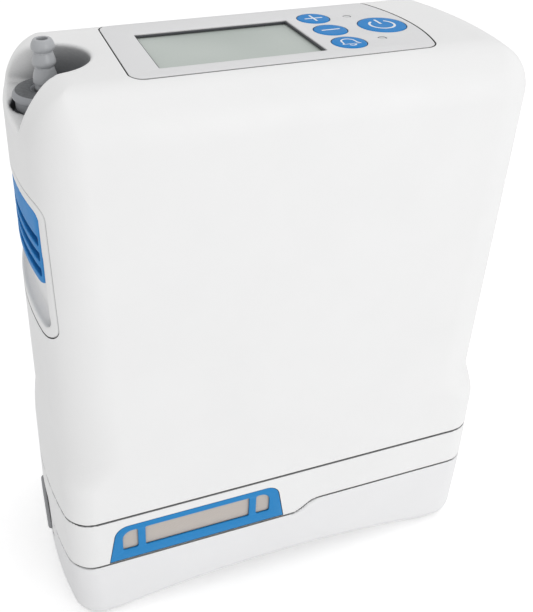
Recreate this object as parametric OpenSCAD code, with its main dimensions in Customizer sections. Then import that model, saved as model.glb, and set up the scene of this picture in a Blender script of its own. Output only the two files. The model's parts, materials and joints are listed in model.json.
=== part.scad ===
// Portable oxygen concentrator: housing, slide-on battery, pump, sieve columns and controls.
// Origin at the middle of the footprint, on the ground. X runs left to right, Y to the back.

/* [Body] */
// Length of the body, left to right
body_l = 150; // [149:0.5:156]
// Depth of the body, front to back
body_w = 68; // [68:0.5:72]
// Height of the body without the nozzle
body_h = 183; // [183:0.5:188]
// Radius of the curved left and right ends, seen from above
end_r = 102; // [90:1:140]
// Corner radius of the base, seen from above
base_corner_r = 6.6; // [5:0.1:8]
// Corner radius of the upper housing, seen from above
upper_corner_r = 9.5; // [8:0.1:11]
// How far each end of the upper housing stands back from the base
upper_inset = 0.6; // [0.2:0.1:1]
// Radius of the top edges
top_r = 14; // [12:0.5:15]
// Radius of the bottom edges
foot_r = 6.6; // [5:0.1:7]
// Wall thickness of the housings
wall = 2.2; // [1.8:0.1:2.4]
// Height of the step where the upper housing draws in
step_z = 62; // [56:1:66]
// Height of the seam between the upper housing and the base
seam_z = 44.8; // [44.6:0.1:45.2]
// Width of the visible gaps between housings
seam_gap = 0.5; // [0.3:0.1:0.6]

/* [Battery] */
// Height of the battery under the left part of the base
line_left_z = 25.5; // [25.4:0.1:25.8]
// Height of the battery under the right part of the base
line_right_z = 29.9; // [29.8:0.1:30]
// Height of the arch under the battery
arch_h = 4.5; // [2:0.5:4.5]
// Half-span of the arch between the two end feet
arch_half = 55; // [45:1:58]
// Diameter of one battery cell
cell_d = 18.3; // [17.5:0.1:18.3]
// Length of one battery cell
cell_l = 65; // [60:0.5:65]

/* [Controls] */
// Length of the control panel
panel_l = 90.5; // [88:0.5:92]
// Depth of the control panel
panel_w = 44.6; // [44:0.2:46]
// Thickness of the control panel
panel_t = 1; // [0.8:0.1:1]
// Radius of the small buttons
small_button_r = 5.06; // [4.8:0.02:5.2]
// Radius of the power button
power_button_r = 7.26; // [7:0.02:7.4]
// Distance between the small buttons
button_pitch = 11.7; // [11.4:0.1:12]
// Travel of the buttons
button_travel = 0.5; // [0.3:0.1:0.5]

/* [Nozzle] */
// Distance of the nozzle from the middle of the body
nozzle_x = 62.7; // [62:0.1:63]
// Height of the nozzle tip above the ground
nozzle_top_z = 188.4; // [187:0.1:190]
// Radius over the barbs
barb_r = 3.2; // [2.8:0.1:3.4]
// Radius of the nozzle's cup
cup_r = 12.2; // [11.5:0.1:12.4]

/* [Air intakes] */
// Width of an intake frame along its lower edge
frame_w = 58.6; // [56:0.2:60]
// Height of an intake frame
frame_h = 14.6; // [14:0.1:15]

/* [Pump] */
// Radius of the pistons
piston_r = 9.45; // [9:0.05:9.45]
// Running clearance of pistons and shafts
run_gap = 0.05; // [0.03:0.01:0.08]
// Crank radius, half of the piston stroke
crank_throw = 3; // [2:0.25:3]
// Radius of the sieve columns
column_r = 13.5; // [12.5:0.1:13.6]

/* [Hidden] */
$fn = 96;
eps = 0.01;
big = 300;
fit_gap = 0.15;
corner_cross = 0.02;

// Housing
upper_l = body_l - 2 * upper_inset;
half_l = body_l / 2;
half_w = body_w / 2;
top_floor_z = body_h - panel_t;
shell_in = wall + upper_inset;
top_under_z = body_h - shell_in;
lip_in = shell_in + fit_gap;
lip_t = 1.4;
lip_h = 3.5;
lip_depth = 6;

// Battery line: an S-shaped step from the left height to the right one
jog_x0 = 3.2;
jog_x1 = 12.4;
jog_steps = 12;
deck_half = 29;
deck_z = line_left_z + 1.8;
rail_gap = 0.4;
contact_pitch = 4;
case_wall = 2.2;
cell_r = cell_d / 2;
cell_z = 6.5 + cell_r + 0.1;
cell_pitch = cell_d + 0.3;

// Base housing
floor_t = 2;
floor_left_z = deck_z + 0.5;
floor_right_z = line_right_z + 0.25;
socket_x0 = jog_x0 - 4.5;
socket_half = 10.5;
screw_head_z = floor_right_z + 3.3;
chassis_z = 49;
chassis_t = 2;

// Controls
panel_x0 = -44;
panel_x1 = panel_x0 + panel_l;
panel_end_r = 60;
panel_corner_r = 3.6;
button_y = -0.9;
button_top_z = body_h + 0.1;
button_x = 20.5;
power_x = 37.4;
window_x0 = -35.5;
window_x1 = 11.9;
window_y0 = -16.8;
window_y1 = 11.9;
window_lap = 1.4;
lens_t = 1.1;
lens_z = top_floor_z - 0.3 - lens_t;
board_z = body_h - 7.6;
board_t = 1.2;
lamp_r = 1.2;
lamp_dy = 10.8;
lamp_x = 31.4;

// Nozzle cup
cup_floor_z = body_h - 13.5;
cup_wall = 1.8;
cup_mouth_half = 19;
nozzle_bore_r = 1.5;
stem_r = 2.9;
disc_r = 9.2;
disc_z = cup_floor_z + 5.1;
stem_z = cup_floor_z - 6;
stem_hole_r = 4.6;
barb_pitch = 4.2;

// Vent on the left end: a bezel round the grille, with a finger scoop under it
vent_z0 = 111.6;
vent_z1 = 155;
vent_half = 28.7;
vent_r = 4.5;
vent_flange = 0.9;
vent_depth = 4.4;
vent_back_x = -64;
grille_z0 = 129.2;
grille_z1 = 151.7;
grille_half = 26.3;
grille_r = 2.5;
scoop_z0 = 114.9;
scoop_depth = 3;
scoop_r = 2;
slot_half = 24.9;
slot_h = 2.8;
slot_pitch = 4.8;
slot_z = 131.6;

// Air intakes: windows are [left, right] from the frame's middle
frame_x = -29.7;
frame_z = 26.4;
frame_lean = 0.178;
frame_r = 4.5;
frame_t = 2.6;
windows = [[-24.9, -20], [-17.6, 17], [19.4, 24.1]];
windows_z0 = frame_z + 4.6;
windows_z1 = frame_z + 12.2;
mesh_half = 25.5;
mesh_inset = 1.4;
mesh_t = 0.7;
mesh_edge = 0.5;

// Battery latch
latch_half = 11;
latch_z0 = 15.5;
latch_z1 = 32.5;
latch_proud = 0.5;
latch_t = 3;
latch_room = 5.8;
latch_gap = 0.3;

// Pump
pump_x = -18;
pump_z = 70;
case_x = 18;
case_y = 18;
case_z0 = 57;
case_z1 = 83;
sleeve_l = 20;
sleeve_wall = 1.5;
head_t = 8;
yoke_t = 8;
pin_r = 3;
shaft_r = 4;
window_half_x = 2 * crank_throw + pin_r + 0.2;
window_half_y = crank_throw + pin_r + 0.5;
yoke_wall = 3;
motor_r = 18;
motor_z0 = case_z1;
motor_z1 = 116;
rotor_r = 12.2;

// Fan behind the exhaust grille
fan_x0 = -67;
fan_x1 = -55;
fan_half = 16.5;
fan_z = 137.7;
fan_bore_r = 15;
fan_hub_r = 6;
fan_blades = 7;
fan_pin_r = 1.5;

// Sieve columns
column_x = 52;
column_y = 15.6;
column_z0 = 40;
column_z1 = 150;
column_wall = 1.2;
cap_r = column_r + 1.1;

// Valves, boards, muffler and sensor
valve_x = [11, 27];
valve_y = [-15, 3];
manifold_z1 = 104;
main_board_y = 27;
muffler_x = -60;
muffler_y = -24;
sensor_y = 16;
sensor_z = 159;

// Power inlet
inlet_z = 38;
inlet_r = 4.5;
inlet_bore_r = 2.75;
inlet_depth = 9.5;

// ---------------------------------------------------------------- shared shapes

// Plan outline, g inside the surface: flat long faces, arched ends, round corners.
// The corners stand out by corner_cross, so that each crosses its end's arc cleanly.
module plan(g = 0, len = body_l, r = base_corner_r) {
    centre = end_r - len / 2;
    cy = half_w - r;
    cx = sqrt(pow(end_r - r, 2) - cy * cy) - centre + corner_cross;
    intersection() {
        translate([-centre, 0])
            circle(r = end_r - g);
        translate([centre, 0])
            circle(r = end_r - g);
        union() {
            square([len + 2, 2 * cy * (end_r - g) / (end_r - r)], center = true);
            square([2 * cx, body_w - 2 * g], center = true);
            for (sx = [-1, 1], sy = [-1, 1])
                translate([sx * cx, sy * cy])
                    circle(r = r - g);
        }
    }
}

// Upright outline of a given width, g inside the surface: round top and bottom corners
module upright(width, g = 0) {
    translate([-width / 2 + g, foot_r])
        square([width - 2 * g, body_h - top_r - foot_r]);
    translate([-width / 2 + top_r, g])
        square([width - 2 * top_r, body_h - 2 * g]);
    translate([-width / 2 + foot_r, g])
        square([width - 2 * foot_r, foot_r]);
    for (s = [-1, 1]) {
        translate([s * (width / 2 - top_r), body_h - top_r])
            circle(r = top_r - g);
        translate([s * (width / 2 - foot_r), foot_r])
            circle(r = foot_r - g);
    }
}

// Whole body, g inside the surface
module body(g = 0, len = body_l, r = base_corner_r) {
    intersection() {
        linear_extrude(body_h)
            plan(g, len, r);
        rotate([90, 0, 90])
            linear_extrude(big, center = true)
                upright(body_w, g);
        rotate([90, 0, 0])
            linear_extrude(big, center = true)
                upright(len, g);
    }
}

// Everything between two heights
module slab(z0, z1) {
    translate([-big / 2, -big / 2, z0])
        cube([big, big, z1 - z0]);
}

// Box from one corner to the other
module box(a, b) {
    translate(a)
        cube(b - a);
}

// Rectangle with round corners
module round_rect(w, h, r) {
    square([w - 2 * r, h], center = true);
    square([w, h - 2 * r], center = true);
    for (sx = [-1, 1], sy = [-1, 1])
        translate([sx * (w / 2 - r), sy * (h / 2 - r)])
            circle(r = r);
}

// Height of the battery line at x
function jog(x) =
    line_left_z + (line_right_z - line_left_z) * (1 - cos(180 * (x - jog_x0) / (jog_x1 - jog_x0))) / 2;

// Everything under the battery line, raised by dz and moved by dx
module under_line(dz = 0, dx = 0) {
    outline = concat(
        [[-big / 2, -1], [-big / 2, line_left_z + dz]],
        [for (i = [0 : jog_steps])
            let (x = jog_x0 + (jog_x1 - jog_x0) * i / jog_steps) [x + dx, jog(x) + dz]],
        [[big / 2, line_right_z + dz], [big / 2, -1]]
    );
    rotate([90, 0, 0])
        linear_extrude(big, center = true)
            polygon(outline);
}

// Tube through a list of points, with a fitting at each bend
module tube(points, r) {
    for (i = [1 : len(points) - 1]) {
        a = points[i - 1];
        run = points[i] - a;
        translate(a)
            rotate([0, acos(run[2] / norm(run)), atan2(run[1], run[0])])
                cylinder(r = r, h = norm(run), $fn = 32);
    }
    for (i = [1 : 1 : len(points) - 2])
        translate(points[i])
            sphere(r = r + 0.3, $fn = 32);
}

// Screw pointing up, head at z = 0
module screw(r, h) {
    difference() {
        union() {
            cylinder(r = 2 * r, h = 1.6);
            cylinder(r = r, h = h);
        }
        translate([0, 0, -eps])
            cylinder(r = r, h = 1, $fn = 6);
    }
}

module at_columns() {
    for (s = [-1, 1])
        translate([column_x, s * column_y, 0])
            children();
}

// ---------------------------------------------------------------- housings

screw_spots = [[-60, -25], [-60, 25], [31, -27], [31, 27]];
chassis_spots = [[-46, -26], [-46, 26], [10, -26], [10, 26]];
screw_r = 1.2;
boss_h = 9;
shelf_t = 1.6;

// Plan of the cup's mouth, which widens towards the left end
module cup_mouth(g = 0) {
    translate([-nozzle_x, 0])
        circle(r = cup_r + g);
    polygon([
        [-nozzle_x, cup_r + g], [-half_l - 2, cup_mouth_half + g],
        [-half_l - 2, -cup_mouth_half - g], [-nozzle_x, -cup_r - g]
    ]);
}

module upper_skin(g = 0) {
    intersection() {
        body(g, upper_l, upper_corner_r);
        slab(step_z - eps, body_h);
    }
    intersection() {
        body(g);
        slab(seam_z + seam_gap / 2, step_z);
    }
}

module upper_cavity() {
    intersection() {
        body(shell_in, upper_l, upper_corner_r);
        slab(seam_z - 1, body_h);
    }
}

module cup_block() {
    intersection() {
        body(wall / 2, upper_l, upper_corner_r);
        translate([0, 0, cup_floor_z - 2])
            linear_extrude(body_h)
                cup_mouth(cup_wall);
    }
}

// Bosses over the chassis, each tied to the nearer long wall by a rib
module screw_bosses() {
    z = chassis_z + chassis_t + 0.2;
    for (p = screw_spots) {
        wall_y = sign(p[1]) * (half_w - 1);
        translate([p[0], p[1], z])
            cylinder(r = 3, h = boss_h);
        box([p[0] - 1, min(p[1], wall_y), z + 3], [p[0] + 1, max(p[1], wall_y), z + boss_h]);
    }
}

// Two shelves from wall to wall that hold the fan behind its vent
module fan_shelves() {
    difference() {
        intersection() {
            body(wall / 2, upper_l, upper_corner_r);
            for (z = [fan_z - fan_half - shelf_t - 0.05, fan_z + fan_half + 0.05])
                box([fan_x0, -half_w, z], [fan_x1, half_w, z + shelf_t]);
        }
        vent_prism(vent_flange + 0.3, vent_back_x + 0.3);
    }
}

// Posts for the display board under the top, and for the main board on the rear wall
module board_posts() {
    for (x = [-40, 45], y = [-18, 18])
        translate([x, y, board_z + board_t + 0.05])
            cylinder(r = 2, h = top_under_z - board_z - board_t + 0.5);
    for (x = [-40, 30], z = [66, 154])
        translate([x, half_w - shell_in + 0.5, z])
            rotate([90, 0, 0])
                cylinder(r = 2.5, h = half_w - shell_in + 0.5 - main_board_y - 1.65);
}

module upper_housing() {
    color("white")
        difference() {
            union() {
                difference() {
                    upper_skin();
                    upper_cavity();
                }
                cup_block();
                screw_bosses();
                fan_shelves();
                board_posts();
            }
            for (p = screw_spots)
                translate([p[0], p[1], chassis_z])
                    cylinder(r = screw_r, h = chassis_t + boss_h - 2);
            translate([0, 0, cup_floor_z])
                linear_extrude(body_h)
                    cup_mouth();
            translate([-nozzle_x, 0, cup_floor_z - 5])
                cylinder(r = stem_hole_r, h = body_h);
            translate([0, 0, top_floor_z])
                linear_extrude(big)
                    panel_outline(fit_gap);
            box([window_x0 - window_lap, window_y0 - window_lap, top_under_z - 2],
                [window_x1 + window_lap, window_y1 + window_lap, body_h]);
            for (s = [-1, 0, 1])
                translate([button_x, button_y + s * button_pitch, top_under_z - 2])
                    cylinder(r = small_button_r + 0.25, h = 10);
            translate([power_x, button_y, top_under_z - 2])
                cylinder(r = power_button_r + 0.25, h = 10);
            for (s = [-1, 1])
                translate([lamp_x, button_y + s * lamp_dy, top_under_z - 2])
                    cylinder(r = lamp_r + 0.1, h = 10);
            vent_prism(fit_gap);
        }
}

// Base: a tray over the battery, with a lip that centres the upper housing
module base_housing() {
    color("white")
        difference() {
            union() {
                difference() {
                    intersection() {
                        body();
                        slab(line_left_z, seam_z - seam_gap / 2);
                    }
                    base_room();
                }
                base_lip();
                base_posts();
                intake_backs();
                box([socket_x0 - 4.5, -12.5, floor_left_z + 1],
                    [jog_x1 + 1, 12.5, floor_left_z + floor_t + 1.2]);
            }
            under_line(seam_gap / 2, -seam_gap / 2);
            base_channel();
            base_screw_holes();
            at_columns()
                cylinder(r = cap_r + 0.3, h = big);
            for (m = [0, 1])
                mirror([0, m, 0]) {
                    intake_prism(fit_gap, -half_w - 1, -half_w + frame_t + 0.1);
                    box([frame_x - mesh_half + mesh_edge, -half_w, windows_z0 + 0.2],
                        [frame_x + mesh_half - mesh_edge, -half_w + 6, windows_z1 - 0.4]);
                }
            latch_window();
            translate([half_l - inlet_depth - 4, 0, inlet_z])
                rotate([0, 90, 0])
                    cylinder(r = inlet_r + 0.05, h = 20);
            box([socket_x0, -socket_half, floor_left_z - 1], [jog_x1 + 1, socket_half, floor_left_z + 1.2]);
            for (i = [-2 : 2])
                box([socket_x0 - 2.25, i * contact_pitch - 0.45, floor_left_z - 1],
                    [socket_x0, i * contact_pitch + 0.45, big]);
        }
}

// Room inside the base, above a floor that follows the battery line
module base_room() {
    difference() {
        intersection() {
            body(wall);
            slab(floor_left_z + floor_t, seam_z + 1);
        }
        difference() {
            under_line(floor_t + seam_gap, -floor_t);
            box([-big / 2, -big / 2, -2], [jog_x0 - floor_t - 3, big / 2, big]);
        }
    }
}

// Channel for the battery's raised deck, open to the right
module base_channel() {
    box([-half_l + 4.8, -deck_half - rail_gap, 0], [jog_x1 + 1, deck_half + rail_gap, floor_left_z]);
}

// Lip that stands up inside the upper housing
module base_lip() {
    difference() {
        union() {
            intersection() {
                body(wall - 0.2);
                slab(seam_z - lip_depth, seam_z - seam_gap / 2);
            }
            intersection() {
                body(lip_in, upper_l, upper_corner_r);
                slab(seam_z - 1, seam_z + lip_h);
            }
        }
        body(lip_in + lip_t, upper_l, upper_corner_r);
    }
}

// Posts under the chassis
module base_posts() {
    for (p = chassis_spots)
        translate([p[0], p[1], floor_left_z])
            cylinder(r = 3, h = chassis_z - floor_left_z - 0.05);
    for (p = screw_spots)
        translate([p[0], p[1], floor_left_z])
            cylinder(r = 4, h = chassis_z - floor_left_z - 0.05);
}

module base_screw_holes() {
    for (p = chassis_spots)
        translate([p[0], p[1], chassis_z - 8])
            cylinder(r = screw_r, h = 10);
    for (p = screw_spots)
        translate([p[0], p[1], 0]) {
            cylinder(r = screw_r + 0.2, h = chassis_z + 1);
            cylinder(r = 2.6, h = screw_head_z + 1.65);
        }
}

// Thicker walls behind the two air intakes
module intake_backs() {
    for (m = [0, 1])
        mirror([0, m, 0])
            box([frame_x - frame_w / 2 - 1.7, -half_w + 1, floor_left_z],
                [frame_x + frame_w / 2 + 1.7, -deck_half - rail_gap, seam_z - seam_gap]);
}

// Window for the latch in the left end, and slots for its stems
module latch_window() {
    y = latch_half + latch_gap;
    box([-half_l - 1, -y, 0], [-half_l + latch_room, y, latch_z1 + latch_gap]);
    box([-half_l, -5.8, floor_left_z + floor_t], [-half_l + 13, 5.8, latch_z1 + latch_gap]);
}

// Gasket in the seam, just inside the surface
module housing_seal() {
    color("dimgray")
        intersection() {
            difference() {
                body(0.9);
                body(shell_in - 0.1, upper_l, upper_corner_r);
            }
            slab(seam_z - seam_gap / 2 + 0.02, seam_z + seam_gap / 2 - 0.02);
        }
}

// Inner plate that carries the pump and the columns
module chassis() {
    color("lightgray")
        difference() {
            intersection() {
                body(shell_in + 0.3, upper_l, upper_corner_r);
                slab(chassis_z, chassis_z + chassis_t);
            }
            at_columns()
                cylinder(r = cap_r + 0.2, h = big);
            for (p = concat(screw_spots, chassis_spots))
                translate([p[0], p[1], 0])
                    cylinder(r = 1.6, h = big);
            at_mounts()
                cylinder(r = 2.6, h = big);
        }
}

module housing_screws() {
    color("silver")
        for (p = screw_spots)
            translate([p[0], p[1], screw_head_z])
                screw(screw_r - 0.05, chassis_z + chassis_t + boss_h - 2.5 - screw_head_z);
}

module chassis_screws() {
    color("silver")
        for (p = chassis_spots)
            translate([p[0], p[1], chassis_z + chassis_t + 1.65])
                mirror([0, 0, 1])
                    screw(screw_r - 0.05, 9);
}

// ---------------------------------------------------------------- control panel

// Outline of the overlay: square left end, arched right end, grown by g
module panel_outline(g = 0) {
    intersection() {
        translate([panel_x1 - panel_end_r, 0])
            circle(r = panel_end_r + g);
        translate([panel_x1 - 2, 0])
            square([16, panel_w - 2 * panel_corner_r + 2], center = true);
    }
    translate([panel_x0 + panel_corner_r, -panel_w / 2 - g])
        square([panel_l - 3 * panel_corner_r, panel_w + 2 * g]);
    translate([panel_x0 - g, -panel_w / 2 + panel_corner_r])
        square([panel_l - 2 * panel_corner_r, panel_w - 2 * panel_corner_r]);
    corner_x = panel_x1 - panel_end_r
        + sqrt(pow(panel_end_r - panel_corner_r, 2) - pow(panel_w / 2 - panel_corner_r, 2));
    for (x = [panel_x0 + panel_corner_r, corner_x], s = [-1, 1])
        translate([x, s * (panel_w / 2 - panel_corner_r)])
            circle(r = panel_corner_r + g);
}

module control_panel() {
    color("gainsboro")
        difference() {
            translate([0, 0, top_floor_z + 0.02])
                linear_extrude(panel_t - 0.02)
                    panel_outline();
            box([window_x0, window_y0, 0], [window_x1, window_y1, big]);
            for (s = [-1, 0, 1])
                translate([button_x, button_y + s * button_pitch, 0])
                    cylinder(r = small_button_r + 0.1, h = big);
            translate([power_x, button_y, 0])
                cylinder(r = power_button_r + 0.1, h = big);
            for (s = [-1, 1])
                translate([lamp_x, button_y + s * lamp_dy, 0])
                    cylinder(r = lamp_r + 0.1, h = big);
        }
}

module display_window() {
    color([0.73, 0.76, 0.74])
        box([window_x0 - window_lap + 0.1, window_y0 - window_lap + 0.1, lens_z],
            [window_x1 + window_lap - 0.1, window_y1 + window_lap - 0.1, lens_z + lens_t]);
}

module display_module() {
    color("darkgray")
        box([window_x0 - 1, window_y0 - 1, board_z + board_t + 0.1],
            [window_x1 + 1, window_y1 + 1, lens_z - 0.1]);
}

module display_board() {
    color("darkgreen")
        difference() {
            box([-42, -20, board_z], [47, 20, board_z + board_t]);
            for (x = [-40, 45], y = [-18, 18])
                translate([x, y, 0])
                    cylinder(r = 1, h = big);
        }
}

module tact_switches() {
    color("black") {
        for (s = [-1, 0, 1])
            translate([button_x, button_y + s * button_pitch, board_z + board_t])
                tact_switch();
        translate([power_x, button_y, board_z + board_t])
            tact_switch();
    }
}

module tact_switch() {
    translate([0, 0, 0.35])
        cube([5, 5, 0.6], center = true);
    cylinder(r = 1.6, h = 1);
}

// Button cap with a retaining flange under the housing, and a stem over its switch
module button(r) {
    flange_z = top_under_z - 1.2;
    stem_z = board_z + board_t + 1 + button_travel + 0.1;
    translate([0, 0, flange_z])
        cylinder(r = r, h = button_top_z - flange_z);
    translate([0, 0, flange_z])
        cylinder(r = r + 0.6, h = 1);
    translate([0, 0, stem_z])
        cylinder(r = 1.5, h = flange_z + eps - stem_z);
}

module plus_button() {
    color("steelblue")
        difference() {
            translate([button_x, button_y + button_pitch, 0])
                button(small_button_r);
            translate([button_x, button_y + button_pitch, button_top_z]) {
                cube([6.4, 0.8, 0.4], center = true);
                cube([0.8, 6.4, 0.4], center = true);
            }
        }
}

module minus_button() {
    color("steelblue")
        difference() {
            translate([button_x, button_y, 0])
                button(small_button_r);
            translate([button_x, button_y, button_top_z])
                cube([6.4, 0.8, 0.4], center = true);
        }
}

module alert_button() {
    color("steelblue")
        difference() {
            translate([button_x, button_y - button_pitch, 0])
                button(small_button_r);
            translate([button_x, button_y - button_pitch - 1.6, body_h - 0.1]) {
                difference() {
                    cylinder(r = 2.6, h = 1);
                    translate([0, 0, -eps])
                        cylinder(r = 2, h = 2);
                }
            }
        }
}

module power_button() {
    color("steelblue")
        difference() {
            translate([power_x, button_y, 0])
                button(power_button_r);
            translate([power_x, button_y, body_h - 0.1]) {
                difference() {
                    cylinder(r = 4, h = 1);
                    translate([0, 0, -eps])
                        cylinder(r = 3.1, h = 2);
                    translate([0, 3, 0])
                        cube([3, 6, 3], center = true);
                }
                translate([0, 2.6, 0.5])
                    cube([0.8, 4, 1], center = true);
            }
        }
}

module indicator_lenses() {
    color("lightgray")
        for (s = [-1, 1])
            translate([lamp_x, button_y + s * lamp_dy, board_z + board_t + 0.1])
                cylinder(r = lamp_r, h = body_h - board_z - board_t - 0.1);
}

module alarm_buzzer() {
    color("black")
        translate([30, 8, board_z - 4.1])
            difference() {
                cylinder(r = 6, h = 4);
                translate([0, 0, -1])
                    cylinder(r = 1, h = 2);
            }
}

// ---------------------------------------------------------------- nozzle

module cannula_nozzle() {
    neck_r = stem_r - 0.4;
    base_z = nozzle_top_z - 2.1 - 2 * barb_pitch;
    color("darkgray")
        translate([-nozzle_x, 0, 0])
            rotate_extrude()
                polygon([
                    [nozzle_bore_r, stem_z], [stem_r, stem_z], [stem_r, base_z - 1.8],
                    [barb_r, base_z - 1.5], [barb_r, base_z],
                    [neck_r, base_z + barb_pitch - 1.5],
                    [barb_r, base_z + barb_pitch - 0.5], [barb_r, base_z + barb_pitch],
                    [neck_r, base_z + 2 * barb_pitch - 1.5],
                    [barb_r, base_z + 2 * barb_pitch - 0.5], [barb_r, base_z + 2 * barb_pitch],
                    [neck_r - 0.1, nozzle_top_z], [nozzle_bore_r, nozzle_top_z]
                ]);
}

module nozzle_base() {
    color("dimgray")
        translate([-nozzle_x, 0, 0])
            rotate_extrude()
                polygon([
                    [stem_r + 0.05, cup_floor_z + 0.1], [disc_r - 0.7, cup_floor_z + 0.1],
                    [disc_r - 0.7, disc_z - 2.1], [disc_r, disc_z - 1.9], [disc_r, disc_z - 0.9],
                    [disc_r - 0.9, disc_z], [stem_r + 0.05, disc_z]
                ]);
}

module nozzle_seal() {
    color("black")
        translate([-nozzle_x, 0, cup_floor_z - 1])
            rotate_extrude()
                translate([(stem_r + stem_hole_r) / 2, 0])
                    circle(r = (stem_hole_r - stem_r) / 2 - 0.05);
}

module nozzle_nut() {
    color("silver")
        translate([-nozzle_x, 0, cup_floor_z - 5.4])
            difference() {
                cylinder(r = 6.3, h = 3.2, $fn = 6);
                translate([0, 0, -1])
                    cylinder(r = stem_r + 0.05, h = 6);
            }
}

// ---------------------------------------------------------------- vent

// Round-cornered block in the left end, from outside the body in to x1
module end_prism(half, z0, z1, r, x1 = vent_back_x) {
    translate([-half_l - 1, 0, (z0 + z1) / 2])
        rotate([90, 0, 90])
            linear_extrude(x1 + half_l + 1)
                round_rect(2 * half, z1 - z0, r);
}

// Room for the bezel, grown by g
module vent_prism(g = 0, x1 = vent_back_x) {
    end_prism(vent_half + g, vent_z0 - g, vent_z1 + g, vent_r + g, x1);
}

// Room for the grille, grown by g
module grille_prism(g = 0) {
    end_prism(grille_half + g, grille_z0 - g, grille_z1 + g, grille_r + g, vent_back_x + 1);
}

module vent_bezel() {
    color("white")
        difference() {
            union() {
                intersection() {
                    body(0, upper_l, upper_corner_r);
                    vent_prism();
                }
                intersection() {
                    body(shell_in + 0.05, upper_l, upper_corner_r);
                    vent_prism(vent_flange);
                }
            }
            body(vent_depth, upper_l, upper_corner_r);
            grille_prism(0.1);
            difference() {
                end_prism(grille_half, scoop_z0, grille_z0 - 1.2, scoop_r);
                body(scoop_depth, upper_l, upper_corner_r);
            }
        }
}

module exhaust_grille() {
    color("steelblue")
        difference() {
            intersection() {
                body(0.3, upper_l, upper_corner_r);
                grille_prism();
            }
            body(vent_depth, upper_l, upper_corner_r);
            for (i = [0 : 2])
                box([-half_l - 1, -slot_half, slot_z + i * slot_pitch],
                    [vent_back_x + 2, slot_half, slot_z + i * slot_pitch + slot_h]);
        }
}

module fan_frame() {
    color("dimgray")
        difference() {
            union() {
                difference() {
                    box([fan_x0, -fan_half, fan_z - fan_half], [fan_x1, fan_half, fan_z + fan_half]);
                    translate([fan_x0 - 1, 0, fan_z])
                        rotate([0, 90, 0])
                            cylinder(r = fan_bore_r, h = 30);
                }
                translate([fan_x1 - 2, 0, fan_z])
                    rotate([0, 90, 0])
                        cylinder(r = 8, h = 2);
                for (a = [90, 210, 330])
                    translate([fan_x1 - 1, 0, fan_z])
                        rotate([a, 0, 0])
                            translate([-1, -1, fan_hub_r])
                                cube([2, 2, fan_bore_r + 1 - fan_hub_r]);
            }
            translate([fan_x1 - 5, 0, fan_z])
                rotate([0, 90, 0])
                    cylinder(r = fan_pin_r + run_gap, h = 10);
        }
}

module fan_rotor() {
    blade_l = fan_bore_r - 0.7 - fan_hub_r;
    color("black")
        translate([fan_x0 + 1, 0, fan_z]) {
            rotate([0, 90, 0])
                cylinder(r = fan_hub_r + 0.5, h = 8.5);
            rotate([0, 90, 0])
                cylinder(r = fan_pin_r, h = 11);
            for (i = [0 : fan_blades - 1])
                rotate([i * 360 / fan_blades, 0, 0])
                    translate([4.2, 0, fan_hub_r + blade_l / 2])
                        rotate([0, 0, 35])
                            cube([7.5, 1, blade_l], center = true);
        }
}

// ---------------------------------------------------------------- air intakes

// Leaning outline of an intake frame in X and Z, grown by g
module intake_outline(g = 0) {
    half = frame_w / 2;
    arc_x = half - frame_lean * (frame_h - frame_r) - frame_r - 0.08 * frame_r;
    polygon([
        [-half - g, -g], [half + g, -g],
        [arc_x + frame_r + g, frame_h - frame_r + 0.8], [arc_x, frame_h + g],
        [-arc_x, frame_h + g], [-arc_x - frame_r - g, frame_h - frame_r + 0.8]
    ]);
    for (s = [-1, 1])
        translate([s * arc_x, frame_h - frame_r])
            circle(r = frame_r + g);
}

module intake_prism(g, y0, y1) {
    translate([frame_x, y1, frame_z])
        rotate([90, 0, 0])
            linear_extrude(y1 - y0)
                intake_outline(g);
}

module intake_frame() {
    color([0.16, 0.48, 0.75])
        difference() {
            intake_prism(0, -half_w, -half_w + frame_t);
            for (w = windows)
                box([frame_x + w[0], -half_w - 1, windows_z0],
                    [frame_x + w[1], -half_w + frame_t + 1, windows_z1]);
            box([frame_x - mesh_half - 0.1, -half_w + mesh_inset, windows_z0 - mesh_edge - 0.1],
                [frame_x + mesh_half + 0.1, -half_w + frame_t + 1, windows_z1 + mesh_edge + 0.1]);
        }
}

module intake_mesh() {
    color("tan")
        box([frame_x - mesh_half, -half_w + mesh_inset + 0.02, windows_z0 - mesh_edge],
            [frame_x + mesh_half, -half_w + mesh_inset + mesh_t, windows_z1 + mesh_edge]);
}

module intake_frame_front() {
    intake_frame();
}

module intake_mesh_front() {
    intake_mesh();
}

module intake_frame_rear() {
    mirror([0, 1, 0])
        intake_frame();
}

module intake_mesh_rear() {
    mirror([0, 1, 0])
        intake_mesh();
}

module intake_muffler() {
    color("gray")
        difference() {
            box([muffler_x - 2, -half_w + shell_in + 0.05, 87], [muffler_x + 18, -20, 103]);
            translate([muffler_x, muffler_y, 80])
                cylinder(r = 2, h = 10);
        }
}

// ---------------------------------------------------------------- battery

module battery_case() {
    color("white")
        difference() {
            intersection() {
                body();
                under_line(-seam_gap / 2, seam_gap / 2);
            }
            difference() {
                intersection() {
                    body(case_wall);
                    slab(cell_z - cell_r - 0.1, line_right_z + 10);
                }
                box([-half_l, -latch_half - 2, 0], [-half_l + 7.4, latch_half + 2, line_left_z - 1.8]);
            }
            arch();
            latch_notch();
        }
}

// Round underside between the two end feet
module arch() {
    r = (arch_half * arch_half + arch_h * arch_h) / (2 * arch_h);
    translate([0, 0, arch_h - r])
        rotate([90, 0, 0])
            cylinder(r = r, h = big, center = true, $fn = 180);
}

// Notch for the latch in the battery's left end
module latch_notch() {
    y = latch_half + latch_gap;
    box([-half_l - 1, -y, latch_z0 - latch_gap], [-half_l + latch_room, y, big]);
}

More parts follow.
